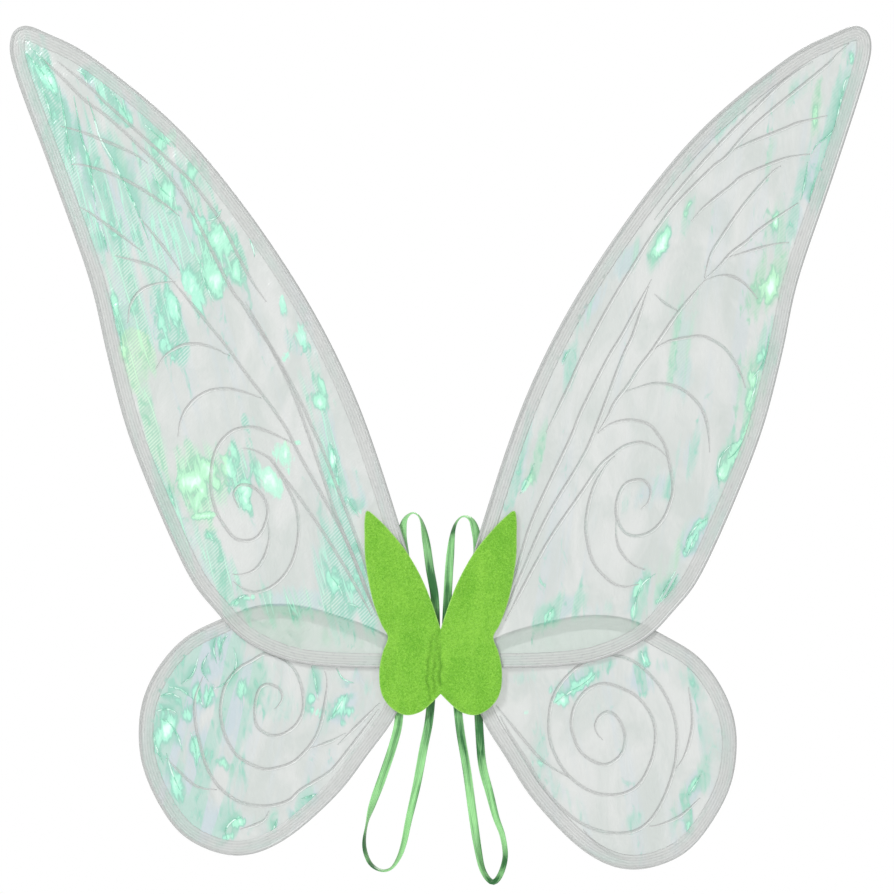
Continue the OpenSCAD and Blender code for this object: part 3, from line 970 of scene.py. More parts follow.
# How strongly each wing's film shows fine slanting lines, how far its streaks lean in
# degrees, and how far the painted light spreads from its folds in mm.
WEAVE = {"upper_left": 1.0, "upper_right": 0.25, "lower_left": 0.0, "lower_right": 0.0}
ROLL_LEAN = {"upper_left": 15, "upper_right": 8, "lower_left": -14, "lower_right": -10}
FOLD_WIDTH = {"upper_left": 8.0, "upper_right": 4.0, "lower_left": 5.0, "lower_right": 4.0}


def soft_spots(wing, flat, patches):
    """Each patch's strength at each place: a soft oval round the patch's middle."""
    out, up = flat[:, 0] * wing.sign / MM, flat[:, 1] / MM
    values = []
    for middle_out, middle_up, long, wide, lean, power in [patch[:6] for patch in patches]:
        a = math.radians(lean)
        dx, dz = out - middle_out, up - middle_up
        u = dx * math.sin(a) + dz * math.cos(a)
        v = dx * math.cos(a) - dz * math.sin(a)
        values.append(power * np.exp(-((u / long) ** 2 + (v / wide) ** 2)))
    return np.array(values)


def reflection_washes_at(wing, flat):
    """How strong the painted iridescent reflection is at each place on the film, and how yellow."""
    patches = REFLECTION_WASHES[wing.name]
    values = soft_spots(wing, flat, patches)
    yellow = np.array([patch[6] for patch in patches])[values.argmax(axis=0)]
    window = np.minimum(0, values.min(axis=0))
    return np.maximum(0, values.max(axis=0) + window), yellow


def folds_at(wing, flat):
    """How strongly each place has painted light from the nearest sharp fold, on that fold's lit
    side.
    """
    marks = []
    for number, line in enumerate(FOLD_GLINTS[wing.name]):
        path = resample(drawn(line, wing.sign), 1 * MM)
        far = lengths(path)
        ease = np.minimum(1, np.minimum(far, far[-1] - far) / (0.3 * far[-1]))
        lit = 1 if number % 2 else -1
        marks += [(*p, *(lit * d), e) for p, d, e in zip(path, directions(path), ease)]
    tree = tree_of(marks)
    values = []
    for x, z in flat:
        gap, index = gap_to(tree, x, z)
        px, pz, dx, dz, ease = marks[index]
        lit_side = dx * (z - pz) - dz * (x - px) > 0
        width = (FOLD_WIDTH[wing.name] if lit_side else 1.0) * MM
        values.append(ease * math.exp(-gap / width))
    return np.array(values)


# ---------------------------------------------------------------- film, hem, wire

def make_film(wing, other):
    """The wing's film, stretched over its wire, and its outline; other is the wing it laps."""
    outline = resample(wing.beyond(FILM_START[wing.kind]), 2.0 * MM)
    flat, faces = filled(outline, 2.0 * MM)
    rise = np.array([wing.rise(x, z) for x, z in flat])
    lean = math.radians(ROLL_LEAN[wing.name]) * wing.sign
    turn = np.array([[math.cos(lean), math.sin(lean)], [-math.sin(lean), math.cos(lean)]])
    # iris, warm, spot and fold place the painted iridescent reflection, highlights and fold light.
    iris, warm = reflection_washes_at(wing, flat)
    piece = mesh_piece("film_" + wing.name, upright(flat, wing.y - rise), faces, FILM, {
        "iris": iris,
        "warm": warm,
        "spot": soft_spots(wing, flat, SPOTS[wing.name]).max(axis=0),
        "fold": folds_at(wing, flat),
        "lap": inside(flat, other.fine),
        "weave": np.full(len(flat), WEAVE[wing.name]),
        "roll": np.column_stack([flat @ turn, np.full(len(flat), wing.seed)]),
    })
    belongs(piece, wing.body, "film", wing.kind + "_film_" + wing.side)
    return piece, outline


def hem_widths(wing, path, inward):
    """The hem's width along the wire: less where the wing is too narrow for it."""
    widths = []
    for p, n in zip(path, inward):
        width = HEM_WIDTH
        while width > 2 * MM:
            q = p + n * width
            if gap_to(wing.tree, q[0], q[1])[0] > 0.95 * width:
                break
            width -= 0.5 * MM
        widths.append(width)
    widths = np.array(widths)
    for _ in range(6):
        padded = np.concatenate([widths[:1], widths, widths[-1:]])
        widths = np.minimum(widths, (padded[:-2] + padded[1:-1] + padded[2:]) / 3)
    return widths


def hem_section(casing, width, wave):
    """The hem's section, from its inner edge on the front round the wire to the back.

    Each point has its distance in from the wire, its height, and its share of the width."""
    rows, ridge_height, groove_height = 11, 0.54 * MM, 0.34 * MM
    sides = []
    for side in (1, -1):
        points = []
        for k in range(rows):
            share = 1 - k / rows
            ridge = ridge_height if k % 2 else groove_height
            points.append((share * width, side * ridge + wave * share, share))
        points.append((0.2 * MM, side * casing, 0.0))
        for a in (math.radians(70), math.radians(35)):
            points.append((-casing * math.cos(a), side * casing * math.sin(a), 0.0))
        sides.append(points)
    return sides[0] + [(-casing, 0.0, 0.0)] + sides[1][::-1]


def make_hem(wing):
    """The doubled edge that holds the wire, with its fine lines."""
    path = resample(wing.beyond(HEM_START), 2.4 * MM)
    inward = inward_of(path, wing.fine)
    casing = wing.wire_r + 0.3 * MM
    rings, band = [], []
    widths = hem_widths(wing, path, inward)
    for p, into, width, far in zip(path, inward, widths, lengths(path)):
        wave = 0.14 * MM * math.sin(far / (9 * MM) * 2 * math.pi)
        section = hem_section(casing, width, wave)
        rings.append([(p[0] + into[0] * reach, wing.y - lift, p[1] + into[1] * reach)
                      for reach, lift, _ in section])
        band += [(far, share, 0) for _, _, share in section]
    shape = Shape()
    shape.rings(rings, band=band)
    piece = shape.piece("hem_" + wing.name, HEM)
    belongs(piece, wing.body, "hem", wing.kind + "_hem_" + wing.side)
    return piece


def make_wire(wing):
    """The wing's spring wire: a closed loop, or an open one with an eye at its root."""
    shape = Shape()

    def add_tube(path, closed):
        """Adds wire along a path in X and Z."""
        line = upright(path, wing.y)
        shape.rings(round_rings(line, wing.wire_r, 10, closed), closed)

    if wing.kind == "upper":
        x = wing.sign * FOLD_X
        root = [(x + wing.sign * 1.2 * MM, -12 * MM), (x, -10.6 * MM), (x, 20.6 * MM)]
        loop = np.vstack([wing.edge[1:-1], root])
        add_tube(resample(np.vstack([loop, loop[:1]]), 2.5 * MM)[:-1], closed=True)
    else:
        add_tube(resample(wing.edge, 2.5 * MM), closed=False)
        eye_r = 1.65 * MM + wing.wire_r
        angle = np.linspace(0, 2 * math.pi, 28, endpoint=False)
        eye = np.stack([wing.sign * TIE_X + eye_r * np.cos(angle), TIE_Z + eye_r * np.sin(angle)],
                       axis=1)
        add_tube(eye, closed=True)
    piece = shape.piece("wire_" + wing.name, WIRE)
    belongs(piece, wing.body, "wire", wing.kind + "_frame_" + wing.side)
    return piece


# ---------------------------------------------------------------- veins

# Seam lines in mm, out and up, each smoothed through its points.
VEINS = {
    "upper_left": [
        [(290, 446), (264, 425), (253, 414), (198, 364), (180, 344), (165, 322), (150, 292),
         (140, 275), (132, 264)],
        [(306, 452), (288, 435), (270, 417), (250, 402), (212, 366), (196, 346), (183, 322),
         (160, 276), (150, 262), (138, 243), (125, 224), (106, 188), (98, 170), (88, 148),
         (62, 80), (46, 28)],
        [(148, 264), (128, 228), (110, 190), (88, 128), (80, 104), (60, 56), (50, 30)],
        [(288, 397), (276, 394), (262, 389), (234, 377), (222, 369)],
        [(280, 368), (268, 367), (240, 357), (212, 340), (198, 329)],
        [(274, 336), (262, 329), (226, 302)], [(228, 328), (208, 303), (198, 288)],
        [(247, 299), (218, 291), (204, 281)],
        [(204, 281), (163, 231), (150, 213), (128, 184), (116, 166), (106, 146), (78, 96),
         (66, 70), (56, 44), (48, 26)],
        [(201, 279), (214, 278), (227, 273), (235, 262), (237, 248)],
        [(160, 223), (172, 229), (184, 232), (196, 231), (208, 224), (216, 213)],
        [(136, 191), (150, 196), (162, 198), (174, 197), (184, 192), (192, 184), (197, 174),
         (199, 162)],
        [(112, 157), (134, 167), (146, 169), (158, 166), (168, 156), (173, 142), (174, 122),
         (170, 105), (163, 93), (156, 85), (148, 83), (140, 85), (134, 93), (131, 106),
         (135, 117), (143, 124), (152, 125), (157, 118), (153, 108)],
        [(150, 153), (143, 152), (134, 148), (126, 141), (112, 115), (108, 100), (108, 85),
         (112, 68), (120, 55), (130, 47), (141, 44), (150, 47), (157, 52)],
        [(126, 141), (96, 100), (72, 62), (52, 26)],
        [(131, 97), (130, 84), (134, 70), (141, 61), (150, 57.5), (158, 57.5)],
    ],
    "upper_right": [
        [(282, 446), (268, 437), (250, 422), (208, 380), (178, 346), (162, 326)],
        [(310, 460), (300, 451), (290, 441), (240, 400), (216, 374), (206, 366), (180, 340),
         (168, 325), (155, 306), (127, 260), (106, 220), (97, 200), (80, 165)],
        [(160, 281), (138, 240), (126, 220), (106, 180), (98, 160), (70, 100), (58, 62), (46, 28)],
        [(158, 276), (146, 240), (137, 220), (115, 162), (104, 140), (80, 100), (63, 62),
         (47, 24)],
        [(200, 280), (180, 256), (160, 227), (150, 214), (142, 201), (132, 188), (126, 176),
         (119, 165)],
        [(171, 147), (163, 154), (152, 157.5), (140, 155), (130, 148), (120, 139), (107, 120),
         (80, 80), (49, 22)],
        [(119, 164), (128, 171), (138, 174), (148, 174), (158, 171), (165, 163), (171, 152),
         (176, 125), (174, 112), (169, 100), (161, 91), (152, 87), (144, 87), (138, 91),
         (134, 99), (133, 108), (135, 118), (140, 126), (148, 129), (155, 128), (159, 121),
         (157, 112), (152, 107)],
        [(132, 147), (126, 141), (119, 130), (114, 118), (111, 105), (110, 92), (112, 78),
         (116, 66), (123, 57), (132, 50), (141, 48), (150, 50)],
        [(133, 100), (133, 88), (135, 78), (140, 70), (147, 64), (155, 61)],
        [(200, 280), (208, 283), (217, 284), (226, 281), (234, 274), (240, 266)],
        [(160, 227), (168, 232), (176, 235), (196, 238), (206, 235), (215, 229), (222, 220),
         (228, 208), (231, 199)],
        [(140, 196), (158, 201.5), (168, 202), (178, 200), (187, 195), (195, 187), (200, 178),
         (203, 165), (204, 150)], [(216, 374), (226, 381), (262, 396), (272, 400), (293, 405)],
        [(190, 325), (200, 336), (220, 352), (230, 360), (256, 371), (266, 374), (280, 376)],
        [(200, 282), (204, 298), (212, 312), (230, 338), (250, 361), (258, 367)],
        [(200, 281), (210, 290), (220, 301), (232, 310), (242, 319), (271, 339)],
        [(216, 297), (250, 307), (264, 309)], [(162, 270), (170, 263), (180, 257)],
    ],
    "lower_left": [
        [(126, -45), (123, -42), (120, -36), (123, -29), (131, -26), (137, -29), (140, -37),
         (141, -48), (139, -58), (133, -63), (126, -65), (118, -63), (110, -57), (105, -48),
         (104, -38), (106, -26), (111, -15), (118, -8), (126, -4), (134, -3), (143, -8),
         (152, -13), (160, -21), (165, -32), (167, -46), (165, -60), (160, -72), (152, -82),
         (135, -90), (123, -89), (112, -85), (103, -77), (95, -66), (90, -52), (86, -26),
         (88, -16)], [(100, -75), (83, -69), (72, -63)],
        [(180, -20), (186, -36), (186, -54), (182, -74), (176, -92), (168, -104), (158, -112),
         (150, -116), (140, -118), (128, -118), (115, -114), (106, -106), (88, -95), (79, -87),
         (58, -60), (47, -45)], [(208, -82), (190, -100), (180, -105), (170, -106)],
        [(152, -136), (142, -133), (134, -129), (130, -122)], [(78, -72), (55, -49), (46, -40)],
    ],
    "lower_right": [
        [(123, -68), (119, -64), (117, -58), (120, -51), (126, -47), (132, -49), (137, -56),
         (140, -66), (138, -77), (132, -84), (124, -87), (115, -84), (106, -77), (101, -66),
         (99, -55), (102, -42), (109, -32), (117, -27), (125, -25.5), (135, -28), (147, -34),
         (155, -42), (161, -53), (163, -65), (161, -80), (155, -95), (148, -104), (138, -109),
         (127, -110), (116, -108), (105, -102), (95, -93), (87, -80), (83, -68), (82, -55),
         (84, -40), (90, -27), (101, -15), (114, -7), (128, -4), (140, -6), (150, -11),
         (160, -20), (168, -30), (175, -44), (179, -60), (179, -76), (177, -90), (171, -108),
         (164, -122), (157, -131), (148, -137), (136, -139), (124, -138), (112, -134),
         (100, -127), (86, -114), (75, -100), (66, -85), (55, -68), (45, -50)],
        [(42, -42), (68, -74), (80, -86), (98, -97)],
        [(188, -28), (191, -52), (189, -68), (184, -82), (178, -91)],
        [(158, -134), (168, -132), (183, -125), (197, -112)],
        [(108, -136), (114, -143), (122, -150), (132, -156), (142, -159)],
    ],
}

# Painted highlights along sharp folds in the film, in the same terms.
FOLD_GLINTS = {
    "upper_left": [
        [(318, 457), (306, 443), (297, 431), (291, 420)], [(302, 427), (297, 411), (294, 400)],
        [(310, 456), (300, 446), (294, 434)], [(289, 428), (286, 410), (281, 376), (278, 362)],
        [(278, 420), (275, 405), (272, 388), (266, 370), (264, 352), (260, 331)],
        [(268, 420), (263, 405), (258, 388), (248, 370), (232, 338), (221, 310)],
        [(258, 322), (255, 312), (252, 301)], [(276, 440), (270, 436), (268, 428)],
        [(252, 425), (243, 414), (234, 396)], [(224, 398), (212, 388), (203, 381)],
        [(219, 362), (212, 350), (203, 342)], [(253, 270), (247, 256), (243, 240), (241, 222)],
        [(200, 268), (198, 254), (196, 240)], [(183, 295), (179, 280), (172, 264)],
        [(166, 334), (170, 328), (178, 325)], [(145, 312), (142, 304), (141, 298)],
        [(83, 157), (80, 145), (77, 126)], [(71, 115), (66, 107), (62, 101)],
        [(206, 126), (204, 117), (201, 108)], [(83, 56), (77, 48), (74, 41)],
        [(72, 36), (66, 34), (61, 32)], [(146, 42), (152, 40), (158, 34)],
        [(65, 84), (62, 77), (60, 72)], [(178, 92), (175, 86), (172, 83)],
    ],
    "upper_right": [
        [(314, 437), (307, 432), (304, 420), (300, 402), (297, 393), (285, 383), (281, 376)],
        [(278, 370), (276, 355), (273, 341)], [(284, 358), (281, 347), (279, 338)],
        [(249, 240), (247, 226), (243, 215), (236, 206)], [(241, 212), (238, 198), (233, 184)],
        [(222, 157), (213, 148), (210, 136), (211, 125)], [(230, 160), (224, 150), (218, 145)],
        [(203, 100), (195, 95), (188, 86), (184, 74)], [(178, 60), (172, 50), (164, 35)],
        [(180, 58), (174, 46), (167, 36)], [(163, 58), (153, 50), (148, 38), (146, 24)],
        [(60, 118), (66, 129), (71, 142)], [(86, 33), (82, 27), (80, 22)],
        [(194, 88), (190, 80), (187, 72)], [(98, 228), (94, 222), (92, 216)],
    ],
    "lower_left": [
        [(161, 12), (166, 5), (168, -8)], [(157, 2), (155, -10), (160, -22), (172, -30)],
        [(169, 14), (172, 2), (170, -10)], [(176, -2), (181, -14), (176, -24)],
        [(184, -6), (188, -18), (197, -26)], [(206, -28), (197, -30), (188, -37)],
        [(213, -52), (206, -55), (199, -66), (196, -77)], [(190, -62), (186, -74), (185, -88)],
        [(85, -54), (78, -44), (72, -34)], [(218, -62), (215, -76), (210, -86)],
        [(208, -78), (204, -92), (198, -106)],
        [(162, -143), (163, -136), (157, -129), (150, -127)],
        [(106, -113), (99, -111), (92, -109)], [(116, -129), (109, -125)],
        [(182, -24), (183, -34), (180, -44)], [(172, -26), (176, -36), (178, -44)],
        [(214, -36), (206, -33), (198, -36)], [(216, -46), (206, -45), (200, -48)],
        [(79, -14), (74, -22), (66, -25)], [(98, -12), (95, -24), (93, -38)],
        [(135, 33), (122, 31), (112, 26), (105, 18)], [(118, 16), (111, 8), (105, 1)],
        [(146, 25), (138, 21), (130, 16)], [(96, 28), (88, 24), (76, 22)],
        [(124, -128), (126, -134), (129, -138)],
    ],
    "lower_right": [
        [(117, -18), (108, -26), (98, -32), (87, -40)], [(198, -93), (193, -102), (188, -110)],
        [(152, 0), (154, -7), (158, -13)],
    ],
}


def make_lines(wing, name, lines, half_width, material, slot):
    """Lines on the film, for pressed veins and for painted fold glints: dished on the front and
    round on the back, with thin ends.
    """
    shape = Shape()
    across = np.linspace(-1, 1, 7)
    for line in lines:
        path = resample(drawn(line, wing.sign), 1.8 * MM)
        deep = [gap_to(wing.tree, *p)[0] > 5 * MM for p in path]
        path = path[inside(path, wing.fine) & np.array(deep)]
        if len(path) < 4:
            continue
        far = lengths(path)
        ease = np.minimum(1, np.minimum(far, far[-1] - far) / min(24 * MM, 0.45 * far[-1]))
        rings, walls = [], []
        for p, d, e in zip(path, directions(path), ease):
            half = half_width * (0.3 + 0.7 * e)
            dish, back = (0.16 + 0.30 * e) * MM, (0.15 + 0.2 * e) * MM
            side = np.array([-d[1], d[0]])
            # wall: painted light from the upper left, so the wall towards the lower right gets the
            # painted highlight and the other wall painted shade.
            tilt = float(side @ np.array([0.7071, -0.7071]))
            y = wing.y - wing.rise(*p)
            u = np.concatenate([across, across[::-1]])
            front = y - 0.08 * MM - dish * across**2
            rear = y + back * (1 - across[::-1] ** 2)
            rings.append(upright(p + half * u[:, None] * side, np.concatenate([front, rear])))
            walls.append(tilt * u)
        shape.rings(rings, wall=np.concatenate(walls))
    piece = shape.piece(name + "_" + wing.name, material)
    belongs(piece, wing.body, slot)
    return piece


def make_wing(wing, other):
    """All the pieces of one wing."""
    film, outline = make_film(wing, other)
    hem = make_hem(wing)
    wire = make_wire(wing)
    veins = make_lines(wing, "veins", VEINS[wing.name], 1.2 * MM, VEIN, "hem")
    # Painted fold glints.
    fold_glints = make_lines(wing, "fold_glints", FOLD_GLINTS[wing.name], 0.6 * MM, FOLD_GLINT, "film")


for side in SIDES:
    upper, lower = Wing("upper", side), Wing("lower", side)
    make_wing(upper, lower)
    make_wing(lower, upper)


# ---------------------------------------------------------------- felt

# One half of the butterfly's outline in mm, out and up.
FELT = [
    (0, 16), (7, 37), (15, 56), (26, 75), (39, 91), (50, 102), (56, 105.6), (57.6, 98),
    (57.6, 88), (57, 68), (52, 40), (45, 20), (40, 10), (44, -2), (46.5, -16), (45, -32),
    (38, -43), (27, -49), (16, -47), (8, -41), (0, -33),
]
# The pinched creases down its middle, x and up.
CREASES = [
    [(-1, 15), (-3, 9), (-2.5, 3), (-4.5, -4), (-4, -11), (-6, -18), (-4.5, -25), (-5, -33)],
    [(-5, 13), (-7, 5), (-7.5, -2), (-9.5, -9), (-9, -16), (-10.5, -23), (-8, -31), (-8, -38)],
    [(0, 4), (-1, -5), (0.5, -12), (-1, -19), (0, -26)],
]
CREASE_TREES = [tree_of(resample(smooth(c, 8), 0.5) * MM) for c in CREASES]


def felt_dent(x, z):
    """How far the felt is pinched in or puffed up at a place."""
    dent = 0.0
    for tree in CREASE_TREES:
        gap, _ = gap_to(tree, x, z)
        dent += 0.85 * math.exp(-((gap / (1.15 * MM)) ** 2))
        dent -= 0.35 * math.exp(-(((gap - 2.4 * MM) / (1.3 * MM)) ** 2))
    broad = noise.noise(Vector((x * 90, z * 90, 5)))
    fine = noise.noise(Vector((x * 260, z * 260, 8)))
    return (dent - 0.16 * (broad + 0.5 * fine)) * MM


def half_height(gap, thick):
    """Half a felt's thickness at a gap from its cut edge, which is rounded."""
    share = min(1.0, gap / (0.9 * MM))
    return (0.42 + 0.58 * math.sqrt(1 - (1 - share) ** 2)) * thick / 2


def felt_slab(shape, rim, y, thick, step, dent=None, seam=None):
    """Adds a felt slab: both faces over one net, with its cut edges rounded.

    rim is the whole outline. A point within the seam's reach of x = 0 isn't an edge."""
    edge = rim if seam is None else rim[np.abs(rim[:, 0]) > seam]
    tree = tree_of(resample(edge, 0.2 * MM))
    inward = inward_of(rim, rim, closed=True)
    extra = []
    for gap in (0.3 * MM, 0.9 * MM):
        ring = rim + inward * gap
        extra.append(np.array([p for p in ring[inside(ring, rim)]
                               if gap_to(tree, *p)[0] > 0.9 * gap
                               and (seam is None or abs(p[0]) > 0.4 * MM)]))
    flat, faces = filled(rim, step, extra)
    gaps = [gap_to(tree, *p)[0] for p in flat]
    half = np.array([half_height(gap, thick) for gap in gaps])
    cut = [max(0.0, 1 - gap / (0.8 * MM)) for gap in gaps]
    sunk = np.array([dent(*p) if dent else 0.0 for p in flat])
    front = upright(flat, y - half + sunk)
    back = upright(flat, y + half + 0.5 * sunk)
    count, ring = len(flat), len(rim)
    skin = [list(f) for f in faces] + [[i + count for i in f[::-1]] for f in faces]
    skin += [[i, (i + 1) % ring, (i + 1) % ring + count, i + count] for i in range(ring)]
    verts = np.vstack([front, back])
    # pinch, how far the felt is pressed in, places the painted crease shade.
    pinch = np.clip(sunk / (0.9 * MM), 0, 1)
    shape.add(verts, skin, place=verts, edge=cut + cut, pinch=np.concatenate([pinch, 0 * pinch]))


def felt_rim(side):
    """The outline of one half of the felt butterfly."""
    half = resample(smooth(FELT, 6) * MM, 1.3 * MM)
    half[0, 0] = half[-1, 0] = 0
    seam = resample([half[-1], half[0]], 1.3 * MM)[1:-1]
    rim = np.vstack([half, seam])
    return rim * np.array([SIDES[side], 1])


def make_fuzz(side, rim):
    """Short loose fibres on the front of the felt and round its cut edge."""
    rng = random.Random(7 + SIDES[side])
    low, high = rim.min(axis=0), rim.max(axis=0)
    tree = tree_of(resample(rim[np.abs(rim[:, 0]) > 1.5 * MM], 0.4 * MM))
    fibres, half_wide = 3200, 0.035 * MM
    verts, faces = [], []
    while len(faces) < fibres * 2:
        x, z = rng.uniform(low[0], high[0]), rng.uniform(low[1], high[1])
        if not inside(np.array([[x, z]]), rim)[0]:
            continue
        gap, _ = gap_to(tree, x, z)
        if gap > 6 * MM and rng.random() < 0.45:
            continue
        size = rng.uniform(0.5, 1.5) * MM
        turn = rng.uniform(0, 2 * math.pi)
        face = Y_FELT - half_height(gap, FELT_THICK) + felt_dent(x, z)
        root = np.array([x, face - 0.02 * MM, z])
        way = np.array([math.cos(turn), -rng.uniform(0.1, 0.5), math.sin(turn)])
        bow = np.array([-way[2], -0.25, way[0]]) * rng.uniform(-0.4, 0.4)
        wide = np.array([-way[2], 0, way[0]]) * half_wide
        start = len(verts)
        for t, width in ((0.0, 1.0), (0.5, 0.9), (1.0, 0.3)):
            p = root + way * size * t + bow * size * t * (1 - t)
            verts += [p - wide * width, p + wide * width]
        faces += [[start + k, start + k + 1, start + k + 3, start + k + 2] for k in (0, 2)]
    verts = np.array(verts)
    values = {"place": verts, "edge": np.full(len(verts), 0.6), "pinch": np.zeros(len(verts))}
    return mesh_piece("felt_fuzz_" + side, verts, faces, FELT_FRONT, values)


def make_felt_half(side):
    """One half of the felt butterfly."""
    rim = felt_rim(side)
    shape = Shape()
    felt_slab(shape, rim, Y_FELT, FELT_THICK, 1.7 * MM, felt_dent, seam=0.05 * MM)
    piece = shape.piece("felt_front_" + side, FELT_FRONT)
    hair = make_fuzz(side, rim)
    for p in (piece, hair):
        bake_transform(p)
    nodes = ["felt_lobe_" + side] + (["felt_centre"] if side == "left" else [])
    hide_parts(*nodes)


def rounded_box(low, high, radius, step):
    """The outline in X and Z of a box with round corners, counter-clockwise."""
    left, right = low.x + radius, high.x - radius
    bottom, top = low.z + radius, high.z - radius
    corners = [(right, top), (left, top), (left, bottom), (right, bottom)]
    points = []
    for quarter, (x, z) in enumerate(corners):
        for a in np.radians(90 * quarter + np.arange(0, 91, 15)):
            points.append((x + radius * math.cos(a), z + radius * math.sin(a)))
    return resample(np.array([*points, points[0]]), step)[:-1]


def whip_stitch(p, d, half):
    """One stitch over the patch's edge from p on towards d; half is half the patch's thickness."""
    bite, proud = 3.2 * MM, 0.12 * MM
    inward = np.array([-d[1], d[0]])
    a = p + inward * bite
    b = p + d * 2.0 * MM - inward * proud
    c = p + d * 3.0 * MM + inward * bite
    back, front = Y_PATCH + half + proud, Y_PATCH - half - proud
    route = [(a, back - 0.35 * MM), (a, back), ((a + b) / 2, back + 0.03 * MM),
             (b, Y_PATCH + 0.45 * MM), (b, Y_PATCH - 0.45 * MM),
             ((b + c) / 2, front - 0.03 * MM), (c, front + 0.25 * MM)]
    return round_rings(smooth([(q[0], y, q[1]) for q, y in route], 3), 0.22 * MM, 6)


def make_back_patch():
    """The felt patch that lies on the wearer's back, with whip stitches round its edge."""
    low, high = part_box("back_patch")
    rim = rounded_box(low, high, 10 * MM, 1.5 * MM)
    thick = high.y - low.y
    shape = Shape()
    felt_slab(shape, rim, Y_PATCH, thick, 1.9 * MM,
              lambda x, z: 0.1 * MM * noise.noise(Vector((x * 120, z * 120, 2))))
    piece = shape.piece("felt_back", FELT_BACK)
    belongs(piece, "hub", "felt", "back_patch")
    stitches = Shape()
    path = resample(np.vstack([rim, rim[:1]]), 5.0 * MM)[:-1]
    for p, d in zip(path, directions(path, closed=True)):
        stitches.rings(whip_stitch(p, d, thick / 2))
    thread = stitches.piece("patch_stitches", THREAD)
    belongs(thread, "hub", "thread")


def make_core():
    """The folded felt spacer between the front felt and the patch, in three plies."""
    low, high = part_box("hub_core")
    rim = rounded_box(low, high, 1.2 * MM, 1.3 * MM)
    plies = 3
    thick = (high.y - low.y) / plies
    shape = Shape()
    for k in range(plies):
        felt_slab(shape, rim, low.y + (k + 0.5) * thick, thick, 1.9 * MM)
    piece = shape.piece("felt_core", FELT_CORE)
    belongs(piece, "hub", "felt_core", "hub_core")


def make_binding(side):
    """A folded tape round the root of the wire, with its tail sewn to the patch."""
    low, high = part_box("binding_" + side)
    loop_r, half_thick, rows = 1.35 * MM, 0.225 * MM, 13
    stem = FOLD_X + 1.3 * MM
    route = [(stem - 0.6 * MM, -3.9 * MM)]
    for a in np.radians(np.arange(240, -61, -20)):
        route.append((FOLD_X + loop_r * math.cos(a), Y_UPPER - loop_r * math.sin(a)))
    route += [(stem, -3.6 * MM), (stem + 0.5 * MM, -2.7 * MM), (17 * MM, -2.4 * MM)]
    path = resample(smooth(route, 4), 0.5 * MM)
    ahead = directions(path)
    across = np.stack([-ahead[:, 1], ahead[:, 0]], axis=1) * half_thick
    rings = []
    for share in np.arange(rows) / (rows - 1):
        z = low.z + (high.z - low.z) * share
        ease = 1 - 0.35 * abs(2 * share - 1) ** 6
        ring = np.vstack([path + across * ease, (path - across * ease)[::-1]])
        rings.append([(SIDES[side] * x, y, z) for x, y in ring])
    shape = Shape()
    shape.rings(rings)
    belongs(shape.piece("tape_" + side, TAPE), "hub", "tape", "binding_" + side)


def make_tie(side):
    """Whipped thread that holds the lower wing's eye to the upper wing's wire."""
    x, z = SIDES[side] * TIE_X, TIE_Z
    top, low = Y_UPPER + 1.5 * MM, Y_LOWER + 1.1 * MM
    t = np.linspace(0, 1, 150)

    def wound(turns, radius):
        """How far a winding thread is to the side and up, from start to end."""
        angle = 2 * math.pi * turns * t
        return radius * np.sin(angle), radius * np.cos(angle)

    aside, up = wound(10, 1.26 * MM)
    round_wire = [x + (t - 0.5) * 4.6 * MM, Y_UPPER + aside, z + up]
    aside, up = wound(5, 1.2 * MM)
    neck = [x + aside, top + (low - top) * t, z + up]
    aside, up = wound(4, (0.3 + 1.9 * t) * MM)
    button = [x + aside, np.full(len(t), low + 0.2 * MM), z + up]
    shape = Shape()
    for route, radius in ((round_wire, 0.24 * MM), (neck, 0.3 * MM), (button, 0.24 * MM)):
        shape.rings(round_rings(np.stack(route, axis=1), radius, 6))
    belongs(shape.piece("thread_tie_" + side, THREAD), "wing_" + side, "thread", "root_tie_" + side)


for side in SIDES:
    make_felt_half(side)
make_back_patch()
make_core()
for side in SIDES:
    make_binding(side)
    make_tie(side)


# ---------------------------------------------------------------- studio

SKY_LIGHT = 0.42


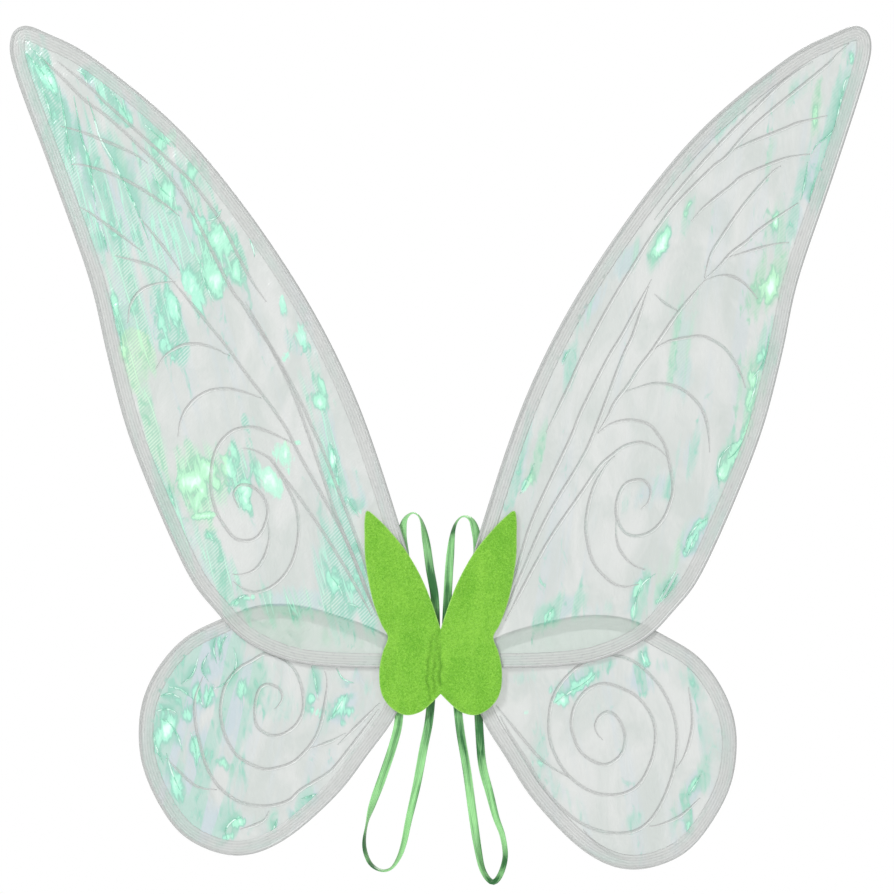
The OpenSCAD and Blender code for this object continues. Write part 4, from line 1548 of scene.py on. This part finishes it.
def make_world():
    """A white world: full white behind the wings, softer as light."""
    world = bpy.data.worlds.new("studio")
    bpy.context.scene.world = world
    world.use_nodes = True
    tree = world.node_tree
    background = tree.nodes["Background"]
    rays = tree.nodes.new("ShaderNodeLightPath")
    level = tree.nodes.new("ShaderNodeMapRange")
    level.inputs["To Min"].default_value = SKY_LIGHT
    level.inputs["To Max"].default_value = 1.0
    tree.links.new(rays.outputs["Is Camera Ray"], level.inputs["Value"])
    tree.links.new(level.outputs[0], background.inputs["Strength"])
    background.inputs["Color"].default_value = (1, 1, 1, 1)


def make_light(name, place, size, power):
    """A round area light, aimed at the wings."""
    data = bpy.data.lights.new(name, "AREA")
    data.shape, data.size, data.energy = "DISK", size, power
    light = bpy.data.objects.new(name, data)
    bpy.context.scene.collection.objects.link(light)
    light.location = place
    aim = Vector((0, 0, 0.15))
    light.rotation_euler = (aim - Vector(place)).to_track_quat("-Z", "Y").to_euler()


def make_floor():
    """A pale floor that runs out into the white of the world on all sides."""
    n = Nodes("floor")
    place = n.place()
    speck = n.noise(place, 3, 2, 0.5)
    n.finish(Base_Color=n.mix(speck, (0.90, 0.90, 0.90), (0.94, 0.94, 0.94)),
             Roughness=n.vary(speck, 0.8, 0.95),
             Emission_Color=(1, 1, 1, 1), Emission_Strength=0.25)
    reach = n.node("ShaderNodeVectorMath", {0: place}, operation="LENGTH").outputs["Value"]
    seen = n.node("ShaderNodeLightPath").outputs["Is Camera Ray"]
    white = n.node("ShaderNodeEmission", {"Strength": n.step(seen, 0, 1, SKY_LIGHT, 1.0)})
    share = {0: n.step(reach, 1.4, 3.2), 1: n.shader.outputs[0], 2: white.outputs[0]}
    blended = n.node("ShaderNodeMixShader", share)
    n.put(n.tree.nodes["Material Output"].inputs["Surface"], blended.outputs[0])
    half, z = 4.0, -0.75
    corners = [(-half, -half, z), (half, -half, z), (half, half, z), (-half, half, z)]
    mesh_piece("floor", corners, [(0, 1, 2, 3)], n.material)


make_world()
make_floor()
make_light("key", (-1.7, -2.4, 1.9), 0.9, 78)
make_light("fill", (1.8, -2.2, 0.6), 1.6, 16)
make_light("rim", (0.6, 2.4, 1.8), 1.4, 30)

scene = bpy.context.scene
scene.view_settings.view_transform = "Standard"
scene.view_settings.look = "None"
scene.cycles.transparent_max_bounces = 32
